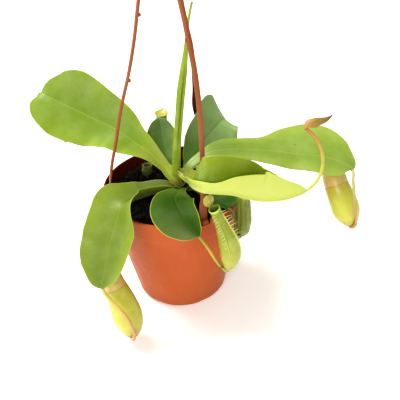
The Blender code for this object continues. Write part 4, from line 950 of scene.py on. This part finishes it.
def build_pot(plastic):
    """The pot's wall turned once round, its base pressed in at six flats, its rim cut for the front clip."""
    rim_in = RIM_R - WALL
    inside = [(0.01, FLOOR), (outer_radius(FLOOR) - WALL - 1.5, FLOOR), (outer_radius(4.0) - WALL, 4.0),
              (outer_radius(LEDGE_Z - 2) - WALL - 0.5, LEDGE_Z - 2),
              (outer_radius(LEDGE_Z + 1) - WALL, LEDGE_Z + 1), (rim_in, POT_H - 0.4)]
    outside = [(rim_in + 0.4, POT_H), (RIM_R - 0.4, POT_H), (RIM_R, POT_H - 0.5),
               (outer_radius(LEDGE_Z + 0.8), LEDGE_Z + 0.8), (outer_radius(LEDGE_Z) - 0.3, LEDGE_Z - 0.5),
               (outer_radius(2.0), 2.0), (BASE_R - 1.2, 0.0), (0.01, 0.0)]

    def press(grid):
        """Points beyond each tilted plane are moved back onto it."""
        for i in range(FLATS):
            a = math.radians(FLAT_FIRST + 360 / FLATS * i)
            out = np.array([math.cos(a), math.sin(a), 0.0])
            n = out * math.cos(FLAT_TIP) - np.array([0.0, 0.0, math.sin(FLAT_TIP)])
            depth = (grid - out * (BASE_R + FLAT_OUT)) @ n + FLAT_DEPTH
            grid = grid - np.maximum(depth, 0)[..., None] * n
        return grid

    shape = lathe(finer(rounded(inside + outside, 0.45), 3.0), 240, press)
    pot = piece("pot_wall", shape, plastic, ["pot"])
    a = math.radians(CLIP_ANGLES["front"])
    corner = np.array([(x, y, z) for z in (-1, 1) for x, y in ((-1, -1), (1, -1), (1, 1), (-1, 1))]) * NOTCH
    x = corner[:, 0] * math.cos(a) - corner[:, 1] * math.sin(a) + RIM_R * math.cos(a)
    y = corner[:, 0] * math.sin(a) + corner[:, 1] * math.cos(a) + RIM_R * math.sin(a)
    pts = np.stack([x, y, corner[:, 2] + POT_H - 1.5], -1) * MM
    cutter = bpy.data.meshes.new("notch")
    cutter.from_pydata(pts.tolist(), [], [(3, 2, 1, 0), (4, 5, 6, 7), (0, 1, 5, 4), (1, 2, 6, 5),
                                          (2, 3, 7, 6), (3, 0, 4, 7)])
    tool = placed("notch", cutter)
    cut = pot.modifiers.new("notch", "BOOLEAN")
    cut.solver = "EXACT"
    cut.object = tool
    deps = bpy.context.evaluated_depsgraph_get()
    mesh = bpy.data.meshes.new_from_object(pot.evaluated_get(deps))
    pot.modifiers.clear()
    pot.data = mesh
    bpy.data.objects.remove(tool, do_unlink=True)
    pot.modifiers.new("crisp", "EDGE_SPLIT").split_angle = math.radians(50)


def build_soil(peat):
    """Potting mix: rings of a disc raised by sums of sines and by seeded lumps, closed underneath."""
    top_r = outer_radius(SOIL_Z - 4) - WALL - SOIL_GAP
    rng = np.random.default_rng(5)
    radii = np.concatenate([np.linspace(0.02, top_r - 1.0, 110), [top_r - 0.4, top_r - 0.2, top_r - 0.2]])
    a = around(SOIL_STEPS)
    x = radii[:, None] * np.cos(a)
    y = radii[:, None] * np.sin(a)
    lump = (1.3 * np.sin(0.31 * x + 0.4) * np.sin(0.27 * y + 1.1) + 0.9 * np.sin(0.71 * x + 0.53 * y)
            + 0.6 * np.sin(0.95 * y - 0.8 * x + 2.0))
    mound = 2.5 * np.exp(-((x - STEM_X) ** 2 + (y - STEM_Y) ** 2) / 300.0)
    heaped = HEAP * np.maximum(np.cos(a - HEAP_TURN), 0) ** 2 * np.clip((radii[:, None] - 36) / 13, 0, 1)
    z = SOIL_Z + lump + mound + heaped - 1.2 * (radii[:, None] / top_r) ** 3
    for size, count, height in ((3.2, 260, 1.1), (1.6, 900, 0.7)):
        r = top_r * np.sqrt(rng.uniform(0, 1, count))
        b = rng.uniform(0, 2 * math.pi, count)
        cx, cy, h = r * np.cos(b), r * np.sin(b), height * rng.uniform(0.3, 1.0, count)
        for i in range(0, count, 60):
            d2 = (x[..., None] - cx[i:i + 60]) ** 2 + (y[..., None] - cy[i:i + 60]) ** 2
            z = z + (h[i:i + 60] * np.exp(-d2 / (size * 0.5) ** 2)).sum(-1) * 0.6
    z = np.minimum(z, SOIL_Z + 9)
    z[-1] = SOIL_Z - 12
    z[-2] = SOIL_Z - 3.5
    foot = [(outer_radius(5.0) - WALL - SOIL_GAP, 5.0), (outer_radius(FLOOR) - WALL - 2.6, FLOOR + 0.3)]
    low = np.stack([np.stack([r * np.cos(a), r * np.sin(a), np.full(SOIL_STEPS, h)], -1) for r, h in foot])
    rings = np.concatenate([np.stack([x, y, z], -1), low])
    piece("soil_bed", loft(rings), peat, ["soil"])

    def ground(px, py):
        """The height of the mix at the nearest point of its grid."""
        i = np.clip(np.searchsorted(radii, np.hypot(px, py)), 0, len(radii) - 4)
        j = np.round(np.arctan2(py, px) / (2 * math.pi) * SOIL_STEPS).astype(int) % SOIL_STEPS
        return z[i, j]

    return ground


def crumb_shape(centres, sizes, seed):
    """Small rough lumps: twenty-sided solids, each stretched and with its corners moved at random."""
    rng = np.random.default_rng(seed)
    f = (1 + 5 ** 0.5) / 2
    base = unit(np.array([(-1, f, 0), (1, f, 0), (-1, -f, 0), (1, -f, 0), (0, -1, f), (0, 1, f),
                          (0, -1, -f), (0, 1, -f), (f, 0, -1), (f, 0, 1), (-f, 0, -1), (-f, 0, 1)]))
    faces = np.array([(0, 11, 5), (0, 5, 1), (0, 1, 7), (0, 7, 10), (0, 10, 11), (1, 5, 9), (5, 11, 4),
                      (11, 10, 2), (10, 7, 6), (7, 1, 8), (3, 9, 4), (3, 4, 2), (3, 2, 6), (3, 6, 8),
                      (3, 8, 9), (4, 9, 5), (2, 4, 11), (6, 2, 10), (8, 6, 7), (9, 8, 1)])
    n = len(centres)
    shape = base[None] * rng.uniform(0.6, 1.25, (n, 12, 1)) * rng.uniform(0.6, 1.3, (n, 1, 3))
    points = centres[:, None] + shape * sizes[:, None, None]
    tris = (np.arange(n)[:, None, None] * 12 + faces[None]).reshape(-1, 3)
    return points.reshape(-1, 3), np.zeros((0, 4), int), tris


def scatter(ground, count, low, high, seed, reach=49.0):
    """Random places on the mix, evenly spread over a disc and clear of stem and sprout, with sizes."""
    rng = np.random.default_rng(seed)
    r = reach * np.sqrt(rng.uniform(0, 1, count))
    a = rng.uniform(0, 2 * math.pi, count)
    x, y = r * np.cos(a), r * np.sin(a)
    clear = (np.hypot(x - STEM_X, y - STEM_Y) > STEM_R + 2.5) & (np.hypot(x - SPROUT[0], y - SPROUT[1]) > 5)
    x, y = x[clear], y[clear]
    sizes = rng.uniform(low, high, len(x))
    return np.stack([x, y, ground(x, y) + 0.35 * sizes], -1), sizes


def build_crumbs(ground, peat, bark):
    """Loose crumbs, bits of bark and fibres lying on the mix."""
    for name, finish, count, low, high, seed in (("soil_crumbs", peat, 1700, 0.4, 1.25, 11),
                                                 ("soil_bark_bits", bark, 200, 0.5, 1.4, 13)):
        centres, sizes = scatter(ground, count, low, high, seed)
        piece(name, crumb_shape(centres, sizes, seed + 1), finish, outward=False)
    rng = np.random.default_rng(15)
    roots = scatter(ground, 150, 0.2, 0.5, 16, 46.0)[0]
    run = rng.normal(0, 1, (len(roots), 3)) * (3.6, 3.6, 0.5)
    bend = rng.normal(0, 0.5, (len(roots), 3)) + (0, 0, 0.4)
    hairs = hair_shape(roots + (0, 0, 0.3), roots + run + (0, 0, 0.5), 0.14, bend)
    piece("soil_fibres", hairs, bark, outward=False)


def build_stem(skin):
    """The short stem: a column that leans a little above the soil, with a swelling at each leaf base."""
    z = np.linspace(STEM_FOOT, STEM_TOP + 2, 90)
    heights = [STEM_FOOT, STEM_FOOT + 2, SOIL_Z + 8, SOIL_Z + 12, 110, 113.5, 116, STEM_TOP, STEM_TOP + 2]
    r = np.interp(z, heights, [3.6, STEM_R, STEM_R, 5.0, 5.3, 4.9, 4.4, 3.8, 2.6])
    a = around(48)
    lean = np.where(z > SOIL_Z + 6, (z - STEM_FOOT) / (STEM_TOP - STEM_FOOT), 0.0)
    ring = r[:, None] * (1 + 0.03 * np.sin(5 * a)[None] + 0.04 * np.sin(z[:, None] * 1.1))
    rings = np.stack([STEM_X + lean[:, None] + ring * np.cos(a), STEM_Y - lean[:, None] + ring * np.sin(a),
                      np.repeat(z[:, None], 48, 1)], -1)
    piece("stem_crown", loft(rings), skin, ["stem"])


def build_spear(skin):
    """The rolled newest leaf: a spiral section carried along the spindle, with a slit down one side."""
    s = np.linspace(0, 1, 160)
    p, t, k, _ = curve_at(SPEAR["path"], s)
    out = carried_frame(p, t, (0.0, -1.0, 0.0))
    side = np.cross(t, out)
    r = track(SPEAR["radii"], k, s)
    a = around(60)
    open_ = smooth((s - 0.12) / 0.2) * smooth((0.74 - s) / 0.2)
    off = np.mod(a - 0.3 + math.pi, 2 * math.pi) - math.pi
    slit = np.exp(-(off / (0.14 + 0.1 * open_[:, None])) ** 2)
    ring = r[:, None] * (1 - 0.5 * open_[:, None] * slit + 0.06 * np.sin(a + 6 * s[:, None]))
    shape = loft(swept(p, out, side, ring * np.cos(a), ring * np.sin(a)))
    # The slit attribute carries the painted shade of the groove into the skin.
    layers = {"slit": (slit * open_[:, None]).ravel(), "along": np.repeat(s, 60)}
    piece("rolled_leaf", shape, skin, ["leaf_spear"], layers)


def build_arm(name, path):
    """One hanger arm: a rounded bar with a low ridge outside that widens into a flat clip at the rim."""
    s = np.concatenate([np.linspace(0, 0.12, 40, endpoint=False), np.linspace(0.12, 1, 150)])
    p, t = curve_at(path, s)[:2]
    a = math.radians(CLIP_ANGLES[name])
    out = carried_frame(p[::-1], t[::-1], (math.cos(a), math.sin(a), 0.0))[::-1]
    side = np.cross(t, out)
    low = 1 - smooth((s - 0.07) / 0.035)
    w = 1.85 + 1.55 * low
    d = 1.25 - 0.2 * low
    a = around(40)
    u, v = signed(np.cos(a), 0.55), signed(np.sin(a), 0.6)
    v = np.where(np.sin(a) > 0, v * (0.72 + 0.4 * np.exp(-(u / 0.45) ** 2)), v)
    return loft(swept(p, side, out, w[:, None] * u, d[:, None] * v))


def tube(path, radius, steps, sides=24):
    """A round section carried along a smooth curve; the radius may be one number or one per point."""
    s = np.linspace(0, 1, steps)
    p, t, k, _ = curve_at(path, s)
    out = carried_frame(p, t, (0.0, 1.0, 0.0))
    r = track(radius, k, s)[:, None]
    a = around(sides)
    return loft(swept(p, out, np.cross(t, out), r * np.cos(a), r * np.sin(a)))


def slab(centre, size, angle):
    """A small box with rounded edges: a superellipse section swept up its height, drawn in at both ends."""
    h = np.linspace(-1, 1, 9)[:, None]
    draw = np.maximum((1 - np.abs(h) ** 6) ** 0.16, 0.75)
    a = around(32)
    x = draw * signed(np.cos(a), 0.4) * size[0] / 2
    y = draw * signed(np.sin(a), 0.4) * size[1] / 2
    z = np.repeat(h * size[2] / 2, 32, 1)
    c, s = math.cos(angle), math.sin(angle)
    return loft(np.stack([x * c - y * s, x * s + y * c, z], -1) + centre)


def build_hanger(plastic, back_arm_painted_shade):
    """Three arms with their toes and nubs, the boss that they run into and the hook above it; the back arm
    takes a darker copy of the plastic as painted shade.
    """
    for name, path in ARMS.items():
        # The back arm is painted darker for the shade that it stands in.
        finish = back_arm_painted_shade if name == "back" else plastic
        piece("hanger_arm_" + name, build_arm(name, path), finish, ["hanger"])
    for name, degrees in CLIP_ANGLES.items():
        a = math.radians(degrees)
        r = TOE_R[name]
        toe = slab((r * math.cos(a), r * math.sin(a), POT_H - 3.0), (5.2, 5.6, 3.2), a)
        piece("hanger_toe_" + name, toe, plastic)
    nubs = (("left", 0.655, 1.5), ("left", 0.445, 1.5), ("front", 0.61, -1.4))
    for i, (name, at, shift) in enumerate(nubs):
        nub = slab(curve_at(ARMS[name], [at])[0][0] + (shift, 0, 0), (2.4, 1.8, 2.2), 0.2)
        piece("hanger_nub_%d" % i, nub, plastic)
    x, y, z = APEX
    profile = [(0.01, z - 9), (5.2, z - 9), (5.1, z - 6), (4.4, z), (3.6, z + 6), (0.01, z + 6)]
    pts, quads, tris = lathe(finer(rounded(profile, 0.8), 1.5), 48)
    piece("hanger_boss", (pts + (x, y, 0.0), quads, tris), plastic)
    path = [(x, y, z + 2), (x, y, z + 10), (x, y, z + 17), (x + 6.5, y, z + 22), (x + 9.5, y, z + 30),
            (x + 6, y, z + 38), (x - 2, y, z + 41.2), (x - 10, y, z + 38), (x - 12.5, y, z + 30.5)]
    piece("hanger_hook", tube(path, [2.4] * 8 + [1.9], 160), plastic)


def build_bud(skin):
    """The unopened pitcher: an oval section with shallow grooves carried along its path."""
    s = np.linspace(0, 1, 60)
    p, t, k, _ = curve_at(BUD["path"], s)
    side = carried_frame(p, t, (0.0, 0.6, 1.0))
    out = np.cross(t, side)
    a = around(40)
    w = track(BUD["wide"], k, s)[:, None] * (1 + 0.05 * np.sin(16 * s[:, None] + 3 * a))
    d = track(BUD["deep"], k, s)[:, None] * (1 + 0.10 * np.sin(4 * a + 9 * s[:, None]))
    shape = loft(swept(p, side, out, np.cos(a) * w, np.sin(a) * d))
    piece("closed_pitcher", shape, skin, ["bud_right"], {"along": np.repeat(s, 40)})


def build_sprout(skin, hair_skin):
    """A small round young pitcher in the mix: a bulb with a rolled mouth and a few hairs."""
    x, y = SPROUT
    profile = [(0.01, -7.9), (1.8, -7.9), (1.9, -1.0), (2.6, 1.2), (4.5, 4.5), (5.1, 7.8), (4.6, 10.3),
               (3.9, 11.6), (4.3, 12.4), (4.0, 13.1), (3.2, 12.8), (3.0, 11.5), (3.6, 8.5), (3.3, 5.5),
               (0.01, 4.2)]

    def lean(grid):
        """The bulb flattened a little, moved to its place and leaning with height."""
        h = np.clip(grid[..., 2] / 13.0, 0, 1.2)
        moved = grid * np.array([1.0, 0.9, 1.0])
        return moved + np.stack([x + 1.4 * h, np.full_like(h, y) - 1.2 * h, np.full_like(h, SOIL_Z)], -1)

    piece("sprout_bulb", lathe(finer(rounded(profile, 0.9), 0.5), 72, lean), skin, ["sprout"])
    a = np.linspace(0, 2 * math.pi, 26, endpoint=False)
    roots = np.stack([x + 1.3 + 4.1 * np.cos(a), y - 1.1 + 3.7 * np.sin(a), np.full(26, SOIL_Z + 12.6)], -1)
    rng = np.random.default_rng(3)
    out = np.stack([np.cos(a), np.sin(a), np.full(26, 0.6)], -1)
    tips = roots + unit(out + rng.normal(0, 0.3, (26, 3))) * 1.6
    hairs = hair_shape(roots, tips, 0.13, rng.normal(0, 0.1, (26, 3)))
    piece("sprout_hairs", hairs, hair_skin, outward=False)


build_camera()
build_stage()

# The third colour is painted shade for the pot's upper inner wall.
terracotta = plastic_finish("terracotta_plastic", (0.43, 0.092, 0.023), (0.46, 0.108, 0.030), 0.42,
                            (0.10, 0.012, 0.004))
# A darker copy of the hanger plastic: painted shade for the back arm.
hanger_painted_shade = plastic_finish("hanger_painted_shade", (0.05, 0.012, 0.006), (0.07, 0.016, 0.008), 0.5)
hanger_plastic = plastic_finish("hanger_plastic", (0.27, 0.082, 0.031), (0.31, 0.102, 0.040), 0.36)
peat = peat_finish("peat")
bark = plain_finish("bark", (0.035, 0.022, 0.012), (0.012, 0.008, 0.004), 300, 0.9, 0.0002)
crown_skin = plain_finish("crown_skin", (0.10, 0.09, 0.02), (0.05, 0.035, 0.01), 160, 0.6)

GREEN_LOOKS = {
    "leaf_left": dict(
        centre=(0.15, 0.235, 0.016), outer=(0.215, 0.305, 0.026), stalk=(0.25, 0.28, 0.03),
        line=(0.3, 0.4, 0.05), rib=(0.27, 0.35, 0.05), under=(0.24, 0.29, 0.06),
        tendril=[(0.0, (0.3, 0.33, 0.05)), (0.6, (0.38, 0.28, 0.06)), (1.0, (0.36, 0.14, 0.05))]),
    "leaf_front_left": dict(
        centre=(0.135, 0.195, 0.018), outer=(0.2, 0.27, 0.02), stalk=(0.17, 0.22, 0.06),
        # Painted light: the underside, dark elsewhere, is lighter and yellower near the margin, where light
        # shines through the edge.
        line=(0.4, 0.46, 0.07), rib=(0.19, 0.26, 0.035), under=(0.1, 0.13, 0.045), under_margin_light=(0.2, 0.26, 0.01),
        tendril=[(0.0, (0.5, 0.48, 0.1)), (0.5, (0.58, 0.36, 0.12)), (1.0, (0.48, 0.22, 0.1))], margins=0.5),
    "leaf_front": dict(
        centre=(0.026, 0.066, 0.003), outer=(0.042, 0.098, 0.004), stalk=(0.09, 0.15, 0.02),
        line=(0.5, 0.52, 0.05), rib=(0.05, 0.11, 0.01), under=(0.08, 0.12, 0.03),
        tendril=[(0.0, (0.26, 0.26, 0.05)), (0.5, (0.56, 0.4, 0.08)), (0.9, (0.33, 0.36, 0.05)),
            (1.0, (0.08, 0.1, 0.02))],
        # The tint is painted sheen: the lower left of the blade is lighter and greyer.
        shine=0.08, gloss=0.5, margins=0.8, haze=0.07, tint=(0.45, 0.8, 0.45, 0.95, (0.13, 0.17, 0.05))),
    "leaf_right_young": dict(
        centre=(0.165, 0.25, 0.004), outer=(0.225, 0.3, 0.008), stalk=(0.3, 0.33, 0.05),
        line=(0.42, 0.5, 0.05), rib=(0.38, 0.46, 0.05), under=(0.5, 0.55, 0.12),
        tendril=[(0.0, (0.5, 0.52, 0.08)), (0.45, (0.54, 0.47, 0.11)), (0.8, (0.5, 0.27, 0.08)),
            (1.0, (0.4, 0.17, 0.06))],
        gloss=0.24, glow=0.1, ribs=0.2, foot=(0.24, 0.25, 0.05)),
    "leaf_right": dict(
        centre=(0.17, 0.255, 0.026), outer=(0.245, 0.325, 0.042), stalk=(0.16, 0.24, 0.045),
        line=(0.3, 0.38, 0.06), rib=(0.3, 0.4, 0.08), under=(0.28, 0.33, 0.08),
        tendril=[(0.0, (0.36, 0.37, 0.11)), (0.35, (0.46, 0.38, 0.12)), (1.0, (0.52, 0.27, 0.13))],
        specks=0.8, ribs=0.25),
    "leaf_back_right": dict(
        centre=(0.115, 0.215, 0.04), outer=(0.115, 0.21, 0.035), stalk=(0.11, 0.2, 0.03),
        line=(0.2, 0.3, 0.06), rib=(0.19, 0.28, 0.07), under=(0.11, 0.18, 0.05),
        tendril=[(0.0, (0.22, 0.24, 0.05)), (1.0, (0.32, 0.23, 0.06))],
        tint=(-0.5, -0.1, 0.15, 0.5, (0.22, 0.33, 0.11))),
    "leaf_back_left": dict(
        centre=(0.07, 0.13, 0.024), outer=(0.11, 0.18, 0.03), stalk=(0.1, 0.17, 0.03),
        line=(0.16, 0.24, 0.05), rib=(0.12, 0.19, 0.04), under=(0.1, 0.15, 0.05),
        tendril=[(0.0, (0.2, 0.24, 0.05)), (1.0, (0.35, 0.35, 0.08))]),
    "leaf_low_right": dict(
        centre=(0.03, 0.08, 0.006), outer=(0.04, 0.1, 0.006), stalk=(0.03, 0.06, 0.01),
        line=(0.16, 0.22, 0.05), rib=(0.03, 0.07, 0.01), under=(0.03, 0.05, 0.01), shine=0.06, gloss=0.55,
        tendril=[(0.0, (0.15, 0.17, 0.03)), (1.0, (0.2, 0.18, 0.04))]),
}

for leaf_name, spec in LEAVES.items():
    skin = leaf_finish(leaf_name + "_skin", **GREEN_LOOKS[leaf_name])
    shape, layers = leaf_shape(spec)
    piece(leaf_name + "_blade", shape, skin, [leaf_name], layers)

OLIVE = [(0.0, (0.55, 0.27, 0.12)), (0.03, (0.24, 0.14, 0.01)), (0.09, (0.46, 0.42, 0.05)),
    (0.2, (0.57, 0.54, 0.1)), (0.45, (0.53, 0.54, 0.07)), (0.67, (0.48, 0.43, 0.05)),
    (0.72, (0.61, 0.45, 0.15)), (1.0, (0.61, 0.49, 0.14))]
BRIGHT = [(0.0, (0.36, 0.34, 0.05)), (0.2, (0.41, 0.42, 0.06)), (0.5, (0.29, 0.33, 0.02)),
    (1.0, (0.23, 0.27, 0.01))]
DEEP = [(0.0, (0.16, 0.16, 0.015)), (0.3, (0.17, 0.2, 0.01)), (1.0, (0.13, 0.17, 0.01))]
RUSTY = [(0.0, (0.3, 0.1, 0.05)), (0.4, (0.5, 0.2, 0.08)), (1.0, (0.5, 0.28, 0.1))]
PITCHER_LOOKS = {
    "pitcher_left": dict(
        stops=RUSTY, inside=(0.25, 0.12, 0.05), lip=(0.45, 0.35, 0.08), blush=(0.35, 0.08, 0.04)),
    "pitcher_front_left": dict(
        stops=OLIVE, inside=(0.3, 0.25, 0.06), lip=(0.55, 0.45, 0.12), blush=(0.36, 0.13, 0.05)),
    "pitcher_front": dict(
        stops=BRIGHT, inside=(0.17, 0.25, 0.03), lip=(0.5, 0.62, 0.08), blush=(0.22, 0.28, 0.03), hip=2.0),
    "pitcher_right": dict(
        stops=OLIVE, inside=(0.3, 0.25, 0.06), lip=(0.58, 0.45, 0.15), blush=(0.36, 0.13, 0.05)),
    "pitcher_back_left": dict(
        stops=BRIGHT, inside=(0.1, 0.15, 0.03), lip=(0.6, 0.68, 0.2), blush=(0.3, 0.35, 0.06), hip=2.0),
    "pitcher_low_right": dict(
        stops=DEEP, inside=(0.08, 0.1, 0.02), lip=(0.35, 0.42, 0.08), blush=(0.12, 0.12, 0.03), hip=2.0),
}

for pitcher_name, spec in PITCHERS.items():
    skin = pitcher_finish(pitcher_name + "_skin", **PITCHER_LOOKS[pitcher_name])
    shape, layers, mouth = pitcher_shape(spec)
    piece(pitcher_name + "_body", shape, skin, [pitcher_name], layers)
    frill = 0.09 if pitcher_name == "pitcher_back_left" else 0.0
    piece(pitcher_name + "_lid", lid_shape(spec, mouth, frill), skin)

hair_skin = plain_finish("hair_skin", (0.78, 0.76, 0.30), (0.70, 0.62, 0.24), 300, 0.5)
hair_dark = plain_finish("hair_dark", (0.35, 0.36, 0.10), (0.30, 0.22, 0.06), 300, 0.5)
for name, finish, end, wing, count, reach, seed, *rest in (
        ("pitcher_front", hair_skin, "left", -1, 12, 4.8, 21, (0.5, 0.96), 3.2, 0.34),
        ("pitcher_front", hair_skin, "right", 1, 12, 5.4, 22, (0.45, 0.96), 0.9, 0.3),
        ("pitcher_low_right", hair_dark, "left", -1, 16, 2.0, 23, (0.5, 0.96)),
        ("pitcher_low_right", hair_dark, "right", 1, 22, 2.2, 24)):
    fringe(name + "_hairs_" + end, PITCHERS[name], finish, name, wing, count, reach, seed, *rest)

build_pot(terracotta)
ground = build_soil(peat)
build_crumbs(ground, peat, bark)
build_stem(crown_skin)
# The slit's darker colour is painted shade in the groove of the rolled leaf.
spear_skin = plain_finish("spear_skin", (0.30, 0.38, 0.035), (0.22, 0.31, 0.02), 90, 0.38, 0.00003,
                          ("slit", (0.20, 0.26, 0.03)))
build_spear(spear_skin)
build_hanger(hanger_plastic, hanger_painted_shade)
bud_skin = plain_finish("bud_skin", (0.50, 0.25, 0.07), (0.38, 0.30, 0.06), 260, 0.45,
                        mark=("along", (0.15, 0.08, 0.03)))
build_bud(bud_skin)
sprout_skin = plain_finish("sprout_skin", (0.16, 0.22, 0.05), (0.12, 0.12, 0.03), 220, 0.4)
build_sprout(sprout_skin, hair_dark)
